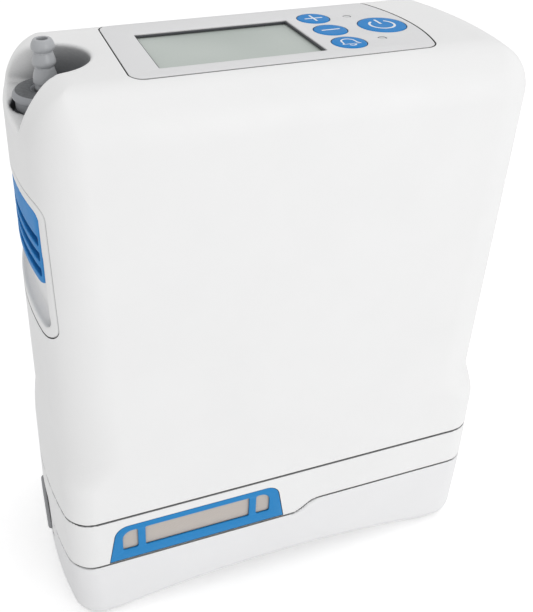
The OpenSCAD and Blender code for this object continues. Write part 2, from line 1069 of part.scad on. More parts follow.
// Lid with a raised deck on the left and the socket in the step
module battery_lid() {
    under_lid_z = line_left_z - 1.7;
    color("whitesmoke")
        difference() {
            union() {
                intersection() {
                    body(case_wall + 0.1);
                    under_line(-seam_gap / 2, seam_gap / 2);
                    slab(under_lid_z, big);
                }
                box([-half_l + 7, -deck_half, under_lid_z], [jog_x0, deck_half, deck_z]);
            }
            box([-half_l + 7.5, -24, 0], [socket_x0 - 1.5, 24, deck_z - 1.5]);
            box([jog_x1 + 2, -24, 0], [half_l - 9, 24, line_right_z - 2]);
            box([socket_x0 - 1.6, -24, 0], [jog_x1 + 2.1, 24, line_left_z - 0.4]);
            box([socket_x0 - 1.5, 0.1 - socket_half, deck_z + 0.2],
                [jog_x1 + 1, socket_half - 0.1, deck_z + 1.7]);
            latch_notch();
        }
}

module battery_cells() {
    color("mediumseagreen")
        for (i = [0, 1], j = [-1 : 1])
            translate([-67.3 + i * (cell_l + 1), j * cell_pitch, cell_z])
                rotate([0, 90, 0]) {
                    cylinder(r = cell_r, h = cell_l - 1);
                    cylinder(r = 3, h = cell_l);
                }
}

module battery_board() {
    color("darkgreen")
        box([16, -20, line_right_z - 3.25], [60, 20, line_right_z - 2.05]);
}

module battery_contacts() {
    color("gold")
        for (i = [-2 : 2])
            box([jog_x1 - 3, i * contact_pitch - 0.8, deck_z + 0.22],
                [jog_x1 + 0.95, i * contact_pitch + 0.8, deck_z + 0.45]);
}

module power_blades() {
    color("gold")
        for (i = [-2 : 2]) {
            box([socket_x0 - 1, i * contact_pitch - 0.4, deck_z + 0.6],
                [jog_x1 - 1, i * contact_pitch + 0.4, deck_z + 1.5]);
            box([socket_x0 - 2.2, i * contact_pitch - 0.4, deck_z + 0.6],
                [socket_x0 - 0.05, i * contact_pitch + 0.4, floor_left_z + 6]);
        }
}

// Press pad with a raised rim, and two stems that guide it through the base
module battery_latch() {
    x0 = -half_l - latch_proud;
    mid_z = (latch_z0 + latch_z1) / 2;
    high = latch_z1 - latch_z0;
    color("white") {
        difference() {
            translate([x0 + latch_t, 0, mid_z])
                rotate([0, -90, 0])
                    linear_extrude(latch_t)
                        round_rect(high, 2 * latch_half, 3.4);
            translate([x0 + 1, 0, mid_z])
                rotate([0, -90, 0])
                    linear_extrude(5)
                        round_rect(high - 3, 2 * latch_half - 3, 2.2);
        }
        for (s = [-1, 1])
            box([x0 + latch_t - eps, min(s * 2.5, s * 5.5), floor_left_z + floor_t + 0.1],
                [x0 + latch_t + 8, max(s * 2.5, s * 5.5), latch_z1 - 0.6]);
        box([x0 + latch_t - eps, -3, 20], [x0 + latch_t + 1.6, 3, 23]);
    }
}

// ---------------------------------------------------------------- pump

module at_mounts() {
    for (sx = [-1, 1], sy = [-1, 1])
        translate([pump_x + sx * (case_x - 4), sy * (case_y - 4), 0])
            children();
}

module pump_mounts() {
    color("black")
        at_mounts()
            translate([0, 0, chassis_z - 1.5])
                rotate_extrude()
                    polygon([
                        [0, 0], [4, 0], [4, 1.4], [2.5, 1.4], [2.5, 3.6], [4, 3.6],
                        [4, case_z0 - chassis_z + 1.4], [0, case_z0 - chassis_z + 1.4]
                    ]);
}

module pump_crankcase() {
    color("silver")
        difference() {
            box([pump_x - case_x, -case_y, case_z0], [pump_x + case_x, case_y, case_z1]);
            box([pump_x - case_x + 2.4, -14, case_z0 + 3], [pump_x + case_x - 2.4, 14, case_z1 - 4]);
            translate([pump_x, 0, pump_z])
                rotate([0, 90, 0])
                    cylinder(r = piston_r + run_gap, h = 80, center = true);
            translate([pump_x, 0, case_z1 - 5])
                cylinder(r = 8, h = 10);
        }
}

module at_both_cylinders() {
    for (s = [0, 1])
        translate([pump_x, 0, pump_z])
            mirror([s, 0, 0])
                rotate([0, 90, 0])
                    children();
}

module cylinder_sleeves() {
    color("silver")
        at_both_cylinders()
            translate([0, 0, case_x + 0.05])
                difference() {
                    union() {
                        cylinder(r = piston_r + run_gap + sleeve_wall, h = sleeve_l);
                        for (i = [0 : 3])
                            translate([0, 0, 2 + i * 4.5])
                                cylinder(r = piston_r + 4.5, h = 1.2);
                    }
                    translate([0, 0, -1])
                        cylinder(r = piston_r + run_gap, h = sleeve_l + 2);
                }
}

module cylinder_heads() {
    color("dimgray")
        at_both_cylinders()
            translate([0, 0, case_x + sleeve_l + 0.1])
                difference() {
                    translate([-13, -14, 0])
                        cube([27, 28, head_t]);
                    translate([0, 0, -1])
                        cylinder(r = 6, h = 4);
                    for (y = [-11.4, 11.4], x = [-10, 10])
                        translate([x, y, -1])
                            cylinder(r = 1.2, h = head_t + 2);
                }
}

// Two opposed pistons on one slotted yoke; the crank pin runs in the slot
module piston_yoke() {
    yoke_x = window_half_x + yoke_wall;
    color("lightsteelblue") {
        difference() {
            translate([pump_x, 0, pump_z])
                cube([2 * yoke_x, 2 * window_half_y + 5, yoke_t], center = true);
            translate([pump_x, 0, pump_z])
                cube([2 * window_half_x, 2 * window_half_y, yoke_t + 2], center = true);
        }
        at_both_cylinders() {
            translate([0, 0, yoke_x - eps])
                cylinder(r = 3, h = case_x + 7 - yoke_x);
            translate([0, 0, case_x + 6])
                cylinder(r = piston_r, h = 8);
        }
    }
}

module crankshaft() {
    color("gray")
        translate([pump_x, 0, 0]) {
            translate([crank_throw, 0, pump_z - yoke_t / 2 - 2])
                cylinder(r = pin_r, h = yoke_t + 3.5);
            translate([0, 0, pump_z + yoke_t / 2 + 1])
                cylinder(r = crank_throw + pin_r + 1, h = 2.5);
            translate([0, 0, pump_z + yoke_t / 2 + 1])
                cylinder(r = shaft_r, h = motor_z1 - 4 - pump_z - yoke_t / 2);
        }
}

module crank_bearing() {
    color("silver")
        translate([pump_x, 0, case_z1 - 4])
            difference() {
                cylinder(r = 7.95, h = 3.9);
                translate([0, 0, -1])
                    cylinder(r = shaft_r + run_gap, h = 6);
            }
}

module motor_can() {
    color("black")
        translate([pump_x, 0, motor_z0 + 0.05])
            difference() {
                cylinder(r = motor_r, h = motor_z1 - motor_z0);
                translate([0, 0, -1])
                    cylinder(r = motor_r - 1.2, h = motor_z1 - motor_z0 - 1);
            }
}

module motor_stator() {
    color("darkorange")
        translate([pump_x, 0, motor_z0 + 4])
            difference() {
                cylinder(r = motor_r - 1.3, h = 24);
                translate([0, 0, -1])
                    cylinder(r = rotor_r + 0.4, h = 26);
                for (i = [0 : 5])
                    rotate([0, 0, i * 60])
                        translate([14.4, 0, -1])
                            cylinder(r = 1.3, h = 26);
            }
}

module motor_rotor() {
    color("dimgray")
        translate([pump_x, 0, motor_z0 + 5])
            difference() {
                cylinder(r = rotor_r, h = 22);
                translate([0, 0, -1])
                    cylinder(r = shaft_r + 0.02, h = 24);
            }
}

// ---------------------------------------------------------------- columns and gas path

module sieve_columns() {
    color("silver")
        at_columns()
            translate([0, 0, column_z0 + 0.1])
                difference() {
                    cylinder(r = column_r, h = column_z1 - column_z0 - 0.2);
                    translate([0, 0, 2])
                        cylinder(r = column_r - column_wall, h = column_z1 - column_z0 - 4.2);
                    translate([0, 0, -1])
                        cylinder(r = 2, h = 200);
                }
}

module column_top_caps() {
    color("dimgray")
        at_columns()
            translate([0, 0, column_z1 - 4])
                difference() {
                    cylinder(r = cap_r, h = 10);
                    translate([0, 0, -1])
                        cylinder(r = column_r + 0.05, h = 5);
                    cylinder(r = 2, h = 20);
                }
}

module column_bottom_caps() {
    color("dimgray")
        at_columns()
            translate([0, 0, floor_right_z + 0.3])
                difference() {
                    cylinder(r = cap_r, h = column_z0 - floor_right_z + 3.7);
                    translate([0, 0, column_z0 - floor_right_z - 0.3])
                        cylinder(r = column_r + 0.05, h = 10);
                    translate([0, 0, -1])
                        cylinder(r = 5, h = 4);
                }
}

module column_seals() {
    color("black")
        at_columns()
            translate([0, 0, column_z1 + 7])
                rotate_extrude()
                    translate([5, 0])
                        circle(r = 0.95);
}

module valve_manifold() {
    color("lightgray")
        difference() {
            union() {
                box([4, -22, 92], [34, 16, manifold_z1]);
                box([6, -22, chassis_z + chassis_t + 0.05], [30, -20.4, 93]);
                box([6, 14.4, chassis_z + chassis_t + 0.05], [30, 16, 93]);
            }
            for (x = valve_x, y = valve_y)
                translate([x, y, 98])
                    cylinder(r = 1.5, h = 10);
            translate([24, 0, 90])
                cylinder(r = 1.5, h = 5);
            for (y = [-12, 12])
                translate([30, y, 98])
                    rotate([0, 90, 0])
                        cylinder(r = 1.5, h = 10);
        }
}

module solenoid_valves() {
    color("gold")
        for (x = valve_x, y = valve_y)
            translate([x, y, manifold_z1 + 0.05]) {
                cylinder(r = 5.5, h = 14);
                cylinder(r = 2, h = 16);
            }
}

module product_tank() {
    color("whitesmoke")
        translate([19, -6, 124])
            difference() {
                union() {
                    cylinder(r = 14, h = 36);
                    box([-10, -16, -1.6], [10, 17, 1]);
                    box([-10, -16, -19.9], [10, -14.7, 1]);
                    box([-10, 15.4, -19.9], [10, 17, 1]);
                }
                translate([0, 0, 2])
                    cylinder(r = 12.4, h = 32);
                translate([0, 0, 30])
                    cylinder(r = 1.5, h = 10);
            }
}

module oxygen_sensor() {
    color("navy")
        difference() {
            box([-42, sensor_y - 6, sensor_z - 6], [-18, main_board_y - 0.05, sensor_z + 6]);
            for (x = [-43, -22])
                translate([x, sensor_y, sensor_z])
                    rotate([0, 90, 0])
                        cylinder(r = 1.6, h = 5);
        }
}

module air_tubes() {
    color("lightblue") {
        tube([[24, 0, 83.1], [24, 0, 91.9]], 2);
        tube([[34.1, -12, 98], [36.5, -12, 98], [36.5, 0, 98], [36.5, 0, 158], [51, 0, 158]], 1.4);
        tube([[muffler_x, muffler_y, 86.9], [muffler_x, muffler_y, 76], [muffler_x, -14.1, 76]], 2);
    }
}

module oxygen_tubes() {
    color("lightblue") {
        tube([[19, -6, 160.1], [19, -6, 165], [19, sensor_y, 165], [-12, sensor_y, 165],
            [-12, sensor_y, sensor_z], [-17.9, sensor_y, sensor_z]], 1.4);
        tube([[-42.1, sensor_y, sensor_z], [-nozzle_x, sensor_y, sensor_z],
            [-nozzle_x, 0, sensor_z], [-nozzle_x, 0, stem_z - 0.1]], 1.5);
    }
}

module main_board() {
    color("darkgreen") {
        box([-44, main_board_y, 62], [34, main_board_y + 1.6, 158]);
        for (i = [0 : 2])
            box([-36 + i * 22, main_board_y - 2, 86 + i * 18],
                [-24 + i * 22, main_board_y + eps, 98 + i * 18]);
    }
}

module power_inlet() {
    color("black")
        translate([half_l - inlet_depth - 3, 0, inlet_z])
            rotate([0, 90, 0])
                difference() {
                    cylinder(r = inlet_r, h = inlet_depth + 2.4);
                    translate([0, 0, 2.4])
                        cylinder(r = inlet_bore_r, h = inlet_depth + 1);
                }
}

// ---------------------------------------------------------------- assembly

upper_housing();
base_housing();
housing_seal();
chassis();
housing_screws();
chassis_screws();
control_panel();
display_window();
display_module();
display_board();
tact_switches();
plus_button();
minus_button();
alert_button();
power_button();
indicator_lenses();
alarm_buzzer();
cannula_nozzle();
nozzle_base();
nozzle_seal();
nozzle_nut();
vent_bezel();
exhaust_grille();
fan_frame();
fan_rotor();
intake_frame_front();
intake_mesh_front();
intake_frame_rear();
intake_mesh_rear();
intake_muffler();
battery_case();
battery_lid();
battery_cells();
battery_board();
battery_contacts();
power_blades();
battery_latch();
pump_mounts();
pump_crankcase();
cylinder_sleeves();
cylinder_heads();
piston_yoke();
crankshaft();
crank_bearing();
motor_can();
motor_stator();
motor_rotor();
sieve_columns();
column_top_caps();
column_bottom_caps();
column_seals();
valve_manifold();
solenoid_valves();
product_tank();
oxygen_sensor();
air_tubes();
oxygen_tubes();
main_board();
power_inlet();
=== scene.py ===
"""Looks of a portable oxygen concentrator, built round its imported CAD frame.

Shapes are worked out in millimetres, in the frame's own axes: X to the right, Y to the back, Z up.
The three housings are smooth implicit shapes, meshed on a grid and then cut with crisp cutters.
"""

import json
import math

import bmesh
import bpy
import numpy as np
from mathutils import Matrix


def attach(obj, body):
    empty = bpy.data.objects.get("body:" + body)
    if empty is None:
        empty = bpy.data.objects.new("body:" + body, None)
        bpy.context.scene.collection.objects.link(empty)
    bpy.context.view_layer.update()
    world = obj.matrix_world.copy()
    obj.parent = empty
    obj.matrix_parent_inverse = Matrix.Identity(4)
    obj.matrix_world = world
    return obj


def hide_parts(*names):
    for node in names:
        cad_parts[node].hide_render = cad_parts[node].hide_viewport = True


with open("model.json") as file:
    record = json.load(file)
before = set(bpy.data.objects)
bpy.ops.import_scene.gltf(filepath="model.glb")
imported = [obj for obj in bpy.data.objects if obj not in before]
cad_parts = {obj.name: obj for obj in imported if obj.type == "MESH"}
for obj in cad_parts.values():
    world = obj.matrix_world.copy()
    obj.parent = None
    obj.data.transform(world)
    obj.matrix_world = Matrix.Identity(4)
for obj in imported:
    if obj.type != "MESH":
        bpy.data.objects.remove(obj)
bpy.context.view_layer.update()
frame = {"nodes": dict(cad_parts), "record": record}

MM = 0.001
ROOT = "housing"

# Housing, in millimetres
BODY_L, BODY_W, BODY_H = 150.0, 68.0, 183.0
END_DRAFT, DRAFT_Z = 0.9, 30.0
END_R = 102.0
TOP_R = 14.2
FOOT_R = 6.6
WAIST_DEPTH, NECK_DEPTH = 1.2, 0.6
BASE_CORNER, WAIST_CORNER, NECK_CORNER = 6.5, 14.0, 9.5
WAIST_Z0, WAIST_Z1, NECK_Z = 57.0, 68.0, 169.0
SEAM_Z = 44.8
GAP, BATTERY_GAP = 0.5, 0.74
EDGE_R = 0.22
WALL = 2.4
ARCH_H, ARCH_HALF = 4.5, 55.0
ARCH_R = (ARCH_HALF**2 + ARCH_H**2) / (2 * ARCH_H)

# Battery line
LINE_LEFT, LINE_RIGHT = 25.5, 29.9
JOG_X0, JOG_X1 = 3.2, 12.4
DECK_HALF, DECK_TOP = 29.4, 27.8
CELL_FLOOR = 6.5

# Nozzle cup
NOZZLE_X = 62.7
CUP_R = 12.2
CUP_FLOOR = 170.6
RIM_R = 1.1

# Control panel
PANEL_X0, PANEL_X1, PANEL_HALF = -44.0, 46.5, 22.3
PANEL_END_R, PANEL_CORNER = 60.0, 3.6
WINDOW = (-35.5, -16.8, 11.9, 11.9)
BUTTON_X, POWER_X, BUTTON_Y, BUTTON_PITCH = 20.5, 37.4, -0.9, 11.7
SMALL_R, POWER_R, LAMP_R = 5.06, 7.26, 1.2
LAMP_X, LAMP_DY = 31.4, 10.8
PANEL_GAP, WINDOW_SHADE_W, WINDOW_LAP = 0.4, 0.4, 1.4

# Vent on the left end
VENT_Z0, VENT_Z1, VENT_HALF = 111.6, 155.0, 28.7
GRILLE_Z0, GRILLE_Z1, GRILLE_HALF = 129.2, 151.7, 26.3
SCOOP_Z0, SLOT_Z, SLOT_PITCH, SLOT_H, SLOT_HALF = 114.9, 131.6, 4.8, 2.8, 24.9
VENT_BACK = -64.0

# Air intakes
INTAKE_X, INTAKE_Z, INTAKE_W, INTAKE_H, INTAKE_R = -29.7, 26.4, 58.6, 14.6, 4.5
LEAN = 0.178
WEAVE_PITCH = 0.8

# Latch
LATCH_HALF, LATCH_Z0, LATCH_Z1, LATCH_PROUD = 11.0, 15.5, 32.5, 0.5
PAD_Z, PAD_H = 20.2, 8.6

# How far round itself a surface looks for open space, for the painted shade in gaps and in hollows
GAP_SHADE_REACH, HOLLOW_SHADE_REACH = 1.4, 20.0


# ---------------------------------------------------------------- smooth shapes


def smoothstep(t):
    """Rises smoothly from 0 to 1 as t does."""
    t = np.clip(t, 0.0, 1.0)
    return t * t * (3 - 2 * t)


def meet(a, b, r):
    """Where both insides meet, with a round edge of radius r."""
    return np.minimum(-r, np.maximum(a, b)) + np.hypot(
        np.maximum(r + a, 0), np.maximum(r + b, 0)
    )


def join(a, b, r):
    """Either inside, with a round inner corner of radius r."""
    return -meet(-a, -b, r)


def cut(a, b, r):
    """a without b, with a round edge of radius r."""
    return meet(a, -b, r)


def plan(x, y, z):
    """Distance to the upright sides: a flared base, a drawn-in waist, straighter again towards the top."""
    waist = smoothstep((z - WAIST_Z0) / (WAIST_Z1 - WAIST_Z0))
    rise = np.clip((z - WAIST_Z1) / (NECK_Z - WAIST_Z1), 0, 1)
    reach = BODY_L / 2 - waist * (WAIST_DEPTH + (NECK_DEPTH - WAIST_DEPTH) * rise)
    reach = reach - END_DRAFT * smoothstep((DRAFT_Z - z) / DRAFT_Z)
    corner = BASE_CORNER + waist * (
        WAIST_CORNER - BASE_CORNER + (NECK_CORNER - WAIST_CORNER) * rise
    )
    end = np.hypot(np.abs(x) + END_R - reach, y) - END_R
    return meet(np.abs(y) - BODY_W / 2, end, corner)


def body(x, y, z):
    """Distance to the whole outside, battery included, with its round top and arched foot."""
    d = meet(plan(x, y, z), z - BODY_H, TOP_R)
    arch = ARCH_R - np.hypot(x, z - (ARCH_H - ARCH_R))
    return meet(d, np.maximum(-z, arch), FOOT_R)


def line_z(x):
    """Height of the battery line, which steps up from left to right."""
    t = np.clip((x - JOG_X0) / (JOG_X1 - JOG_X0), 0, 1)
    return LINE_LEFT + (LINE_RIGHT - LINE_LEFT) * (1 - np.cos(np.pi * t)) / 2


def cup(x, y, z):
    """The nozzle's cup, which opens like a spout towards the left end."""
    round_part = np.hypot(x + NOZZLE_X, y) - CUP_R
    t = smoothstep((-59.5 - x) / 14.5)
    half = CUP_R - 0.4 + t * (9.6 - 0.25 * (181 - z))
    spout = np.maximum((np.abs(y) - half) * 0.8, x + NOZZLE_X)
    opening = join(round_part, spout, 2.0)
    room = meet(opening, CUP_FLOOR - z, 1.4)
    recess = np.maximum(np.hypot(x + NOZZLE_X, y) - 9.9, CUP_FLOOR - 3.5 - z)
    return np.minimum(room, recess)


def upper_field(x, y, z):
    """The tall cover, down to the seam, with the nozzle cup sunk in its top."""
    skin = body(x, y, z)
    hollow = np.maximum(skin + WALL, 1.8 - cup(x, y, z))
    d = meet(skin, SEAM_Z + GAP / 2 - z, EDGE_R)
    d = cut(d, cup(x, y, z), RIM_R)
    return np.maximum(d, -hollow)


def base_field(x, y, z):
    """The band between the seam and the battery line."""
    skin = body(x, y, z)
    hollow = np.maximum(skin + WALL, 32.5 - z)
    d = meet(skin, z - (SEAM_Z - GAP / 2), EDGE_R)
    d = meet(d, (line_z(x) + BATTERY_GAP / 2 - z) * 0.9, EDGE_R)
    return np.maximum(d, -hollow)


def battery_field(x, y, z):
    """The battery case, below its stepped line, with a sill left solid behind the latch."""
    skin = body(x, y, z)
    hollow = np.maximum(skin + 2.25, CELL_FLOOR - z)
    hollow = np.maximum(hollow, np.minimum(-67.6 - x, 13.0 - np.abs(y)))
    d = meet(skin, (z - line_z(x) + BATTERY_GAP / 2) * 0.9, EDGE_R)
    return np.maximum(d, -hollow)


def spread(*runs):
    """Grid lines: each run is (start, stop, spacing), and the last stop closes the grid."""
    lines = [np.linspace(a, b, max(int(round((b - a) / s)), 1) + 1)[:-1] for a, b, s in runs]
    return np.concatenate(lines + [[runs[-1][1]]])


def field_mesh(name, field, xs, ys, zs, settle=4):
    """Meshes the surface where field is zero: one vertex a cell, moved onto the true surface."""
    shape = (len(xs), len(ys), len(zs))
    f = np.empty(shape)
    for i in range(0, shape[0], 24):
        f[i : i + 24] = field(*np.meshgrid(xs[i : i + 24], ys, zs, indexing="ij"))
    inside = f < 0
    corners = [(a, b, c) for a in (0, 1) for b in (0, 1) for c in (0, 1)]
    view = lambda a, b, c: inside[
        a : shape[0] - 1 + a, b : shape[1] - 1 + b, c : shape[2] - 1 + c
    ]
    count = sum(view(*q).astype(np.int8) for q in corners)
    active = (count > 0) & (count < 8)
    ijk = np.array(np.nonzero(active))
    index = np.full(active.shape, -1, np.int64)
    index[tuple(ijk)] = np.arange(ijk.shape[1])
    total, hits = np.zeros((ijk.shape[1], 3)), np.zeros(ijk.shape[1])
    for a in corners:
        for axis in range(3):
            if a[axis]:
                continue
            b = tuple(1 if n == axis else v for n, v in enumerate(a))
            ia, ib = [tuple(ijk[n] + q[n] for n in range(3)) for q in (a, b)]
            fa, fb = f[ia], f[ib]
            crosses = (fa < 0) != (fb < 0)
            t = np.where(crosses, fa / np.where(crosses, fa - fb, 1), 0)
            pa = np.stack([xs[ia[0]], ys[ia[1]], zs[ia[2]]], 1)
            pb = np.stack([xs[ib[0]], ys[ib[1]], zs[ib[2]]], 1)
            total += np.where(crosses[:, None], pa + t[:, None] * (pb - pa), 0)
            hits += crosses
    verts = total / hits[:, None]
    faces = []
    for axis in range(3):
        lo = np.take(inside, range(shape[axis] - 1), axis)
        hi = np.take(inside, range(1, shape[axis]), axis)
        n = np.array(np.nonzero(lo != hi))
        u, v = (axis + 1) % 3, (axis + 2) % 3
        keep = (n[u] > 0) & (n[v] > 0) & (n[u] < shape[u] - 1) & (n[v] < shape[v] - 1)
        n = n[:, keep]
        ring = []
        for du, dv in ((1, 1), (0, 1), (0, 0), (1, 0)):
            c = n.copy()
            c[u] -= du
            c[v] -= dv
            ring.append(index[tuple(c)])
        quad = np.stack(ring, 1)
        outward = lo[tuple(n)]
        faces.append(np.where(outward[:, None], quad, quad[:, ::-1]))
    faces = np.concatenate(faces)
    start = verts.copy()
    h = 0.02
    for _ in range(settle):
        f0 = field(*verts.T)
        grad = np.stack(
            [
                (field(*(verts + h * e).T) - field(*(verts - h * e).T)) / (2 * h)
                for e in np.eye(3)
            ],
            1,
        )
        step = grad * (f0 / np.maximum((grad**2).sum(1), 0.2))[:, None]
        verts = verts - np.clip(step, -0.25, 0.25)
    verts = start + np.clip(verts - start, -0.6, 0.6)
    return mesh_object(name, verts, faces)


# ---------------------------------------------------------------- mesh helpers


def mesh_object(name, verts, faces):
    """A mesh piece from vertices in millimetres."""
    mesh = bpy.data.meshes.new(name)
    mesh.from_pydata((np.asarray(verts) * MM).tolist(), [], [list(f) for f in faces])
    mesh.validate()
    obj = bpy.data.objects.new(name, mesh)
    bpy.context.scene.collection.objects.link(obj)
    return obj


def smooth(obj, limit=35):
    """Smooth shading, with edges sharper than limit degrees left crisp."""
    bm = bmesh.new()
    bm.from_mesh(obj.data)
    for face in bm.faces:
        face.smooth = True
    for edge in bm.edges:
        edge.smooth = edge.calc_face_angle(0) < math.radians(limit)
    bm.to_mesh(obj.data)
    bm.free()
    return obj


def bake(obj):
    """Applies the object's modifiers to its mesh."""
    graph = bpy.context.evaluated_depsgraph_get()
    mesh = bpy.data.meshes.new_from_object(obj.evaluated_get(graph))
    obj.modifiers.clear()
    obj.data = mesh
    return obj


def carve(obj, *cutters):
    """Cuts each cutter out of obj and throws the cutters away."""
    for cutter in cutters:
        mod = obj.modifiers.new("carve", "BOOLEAN")
        mod.operation, mod.solver, mod.object = "DIFFERENCE", "MANIFOLD", cutter
    bake(obj)
    for cutter in cutters:
        bpy.data.objects.remove(cutter)
    return obj


def prism(name, outline, low, high, axis="z"):
    """Extrudes a closed outline. On axis z it lies in XY, on x in YZ, and on y in XZ."""
    n = len(outline)
    place = {
        "z": lambda p, h: (p[0], p[1], h),
        "x": lambda p, h: (h, p[0], p[1]),
        "y": lambda p, h: (p[0], h, p[1]),
    }[axis]
    verts = [place(p, low) for p in outline] + [place(p, high) for p in outline]
    sides = [(i, (i + 1) % n, n + (i + 1) % n, n + i) for i in range(n)]
    obj = mesh_object(name, verts, sides + [tuple(range(n))[::-1], tuple(range(n, 2 * n))])
    bm = bmesh.new()
    bm.from_mesh(obj.data)
    bmesh.ops.recalc_face_normals(bm, faces=bm.faces)
    bm.to_mesh(obj.data)
    bm.free()
    return obj


def box_prism(name, low, high):
    """A plain block between two corners."""
    (x0, y0, z0), (x1, y1, z1) = low, high
    return prism(name, [(x0, y0), (x1, y0), (x1, y1), (x0, y1)], z0, z1)


def plate(name, outlines, low, high, axis="z", bevel=0.2):
    """A plate with round edges from an outer outline and any holes, as an applied 2D curve."""
    curve = bpy.data.curves.new(name, "CURVE")
    curve.dimensions = "2D"
    curve.fill_mode = "BOTH"
    curve.extrude = ((high - low) / 2 - bevel) * MM
    curve.bevel_depth = bevel * MM
    curve.bevel_resolution = 3
    curve.offset = -bevel * MM
    for outline in outlines:
        spline = curve.splines.new("POLY")
        spline.points.add(len(outline) - 1)
        for point, (a, b) in zip(spline.points, outline):
            point.co = (a * MM, b * MM, 0, 1)
        spline.use_cyclic_u = True
    temp = bpy.data.objects.new(name + "_curve", curve)
    bpy.context.scene.collection.objects.link(temp)
    graph = bpy.context.evaluated_depsgraph_get()
    mesh = bpy.data.meshes.new_from_object(temp.evaluated_get(graph))
    bpy.data.objects.remove(temp)
    mid = (low + high) / 2 * MM
    for v in mesh.vertices:
        a, b, h = v.co
        v.co = {"z": (a, b, h + mid), "x": (h + mid, a, b), "y": (a, mid - h, b)}[axis]
    obj = bpy.data.objects.new(name, mesh)
    bpy.context.scene.collection.objects.link(obj)
    bm = bmesh.new()
    bm.from_mesh(mesh)
    bmesh.ops.remove_doubles(bm, verts=bm.verts, dist=1e-6)
    bmesh.ops.recalc_face_normals(bm, faces=bm.faces)
    bm.to_mesh(mesh)
    bm.free()
    return smooth(obj)


def lathe(name, profile, centre, steps=96, axis="z", limit=40):
    """Turns a profile of (radius, height) round an axis through centre."""
    verts, faces = [], []
    n = len(profile)
    for i in range(steps):
        a = 2 * math.pi * i / steps
        for r, h in profile:
            p = (r * math.cos(a), r * math.sin(a), h)
            if axis == "x":
                p = (h, p[0], p[1])
            verts.append([c + q for c, q in zip(centre, p)])
    for i in range(steps):
        j = (i + 1) % steps
        for k in range(n - 1):
            faces.append((i * n + k, j * n + k, j * n + k + 1, i * n + k + 1))
    obj = mesh_object(name, verts, faces)
    bm = bmesh.new()
    bm.from_mesh(obj.data)
    bmesh.ops.remove_doubles(bm, verts=bm.verts, dist=1e-7)
    bmesh.ops.recalc_face_normals(bm, faces=bm.faces)
    bm.to_mesh(obj.data)
    bm.free()
    return smooth(obj, limit)


def rounded(profile, r=0.3, steps=4):
    """A profile with its inner points rounded off."""
    out = [profile[0]]
    for a, b, c in zip(profile, profile[1:], profile[2:]):
        a, b, c = np.array(a, float), np.array(b, float), np.array(c, float)
        la, lc = np.linalg.norm(a - b), np.linalg.norm(c - b)
        k = min(r, la / 2.2, lc / 2.2)
        p, q = b + (a - b) / la * k, b + (c - b) / lc * k
        for s in range(steps + 1):
            t = s / steps
            out.append(tuple((1 - t) ** 2 * p + 2 * t * (1 - t) * b + t * t * q))
    return out + [profile[-1]]


def arc(cx, cy, r, a0, a1, steps):
    """Points on an arc, angles in degrees."""
    angles = np.radians(np.linspace(a0, a1, steps))
    return [(cx + r * math.cos(a), cy + r * math.sin(a)) for a in angles]


def circle(cx, cy, r, steps=64):
    """A closed ring of points."""
    return arc(cx, cy, r, 0, 360, steps + 1)[:-1]


def round_rect(x0, y0, x1, y1, *radii):
    """A rectangle with corner radii given anticlockwise from the low corner."""
    radii = radii * 4 if len(radii) == 1 else radii
    spots = ((x0, y0, 1, 1, 180), (x1, y0, -1, 1, 270), (x1, y1, -1, -1, 0), (x0, y1, 1, -1, 90))
    out = []
    for (x, y, sx, sy, a), r in zip(spots, radii):
        out += arc(x + sx * r, y + sy * r, r, a, a + 90, 8) if r else [(x, y)]
    return out


def stroke(name, path, width, low, high, closed=False):
    """A raised line along a path in XY, with round ends."""
    curve = bpy.data.curves.new(name, "CURVE")
    curve.dimensions = "3D"
    curve.bevel_depth = width / 2 * MM
    curve.bevel_resolution = 4
    curve.use_fill_caps = True
    spline = curve.splines.new("POLY")
    spline.points.add(len(path) - 1)
    for point, (x, y) in zip(spline.points, path):
        point.co = (x * MM, y * MM, 0, 1)
    spline.use_cyclic_u = closed
    temp = bpy.data.objects.new(name + "_curve", curve)
    bpy.context.scene.collection.objects.link(temp)
    graph = bpy.context.evaluated_depsgraph_get()
    mesh = bpy.data.meshes.new_from_object(temp.evaluated_get(graph))
    bpy.data.objects.remove(temp)
    flat = (high - low) / width
    for v in mesh.vertices:
        v.co.z = v.co.z * flat + (low + high) / 2 * MM
    return mesh


# ---------------------------------------------------------------- materials


def linear(rgb):
    """8-bit sRGB to linear."""
    c = np.array(rgb, float) / 255
    return tuple(np.where(c <= 0.04045, c / 12.92, ((c + 0.055) / 1.055) ** 2.4)) + (1.0,)


def new_material(name):
    """An empty Principled material, with the object's own coordinates for its patterns."""
    mat = bpy.data.materials.new(name)
    mat.use_nodes = True
    tree = mat.node_tree
    tree.nodes.clear()
    out = tree.nodes.new("ShaderNodeOutputMaterial")
    shader = tree.nodes.new("ShaderNodeBsdfPrincipled")
    tree.links.new(shader.outputs["BSDF"], out.inputs["Surface"])
    coords = tree.nodes.new("ShaderNodeTexCoord")
    return mat, tree, shader, coords.outputs["Object"]


def noise(tree, coords, size_mm, detail=3.0, rough=0.55):
    """Noise whose features are about size_mm across."""
    node = tree.nodes.new("ShaderNodeTexNoise")
    node.inputs["Scale"].default_value = 1 / (size_mm * MM)
    node.inputs["Detail"].default_value = detail
    node.inputs["Roughness"].default_value = rough
    tree.links.new(coords, node.inputs["Vector"])
    return node.outputs["Fac"]


def ranged(tree, value, low, high, from_low=0.3, from_high=0.7):
    """Maps a value from one range to another. The usual input range is that of a noise."""
    node = tree.nodes.new("ShaderNodeMapRange")
    for key, v in (("From Min", from_low), ("From Max", from_high), ("To Min", low), ("To Max", high)):
        node.inputs[key].default_value = v
    tree.links.new(value, node.inputs["Value"])
    return node.outputs["Result"]


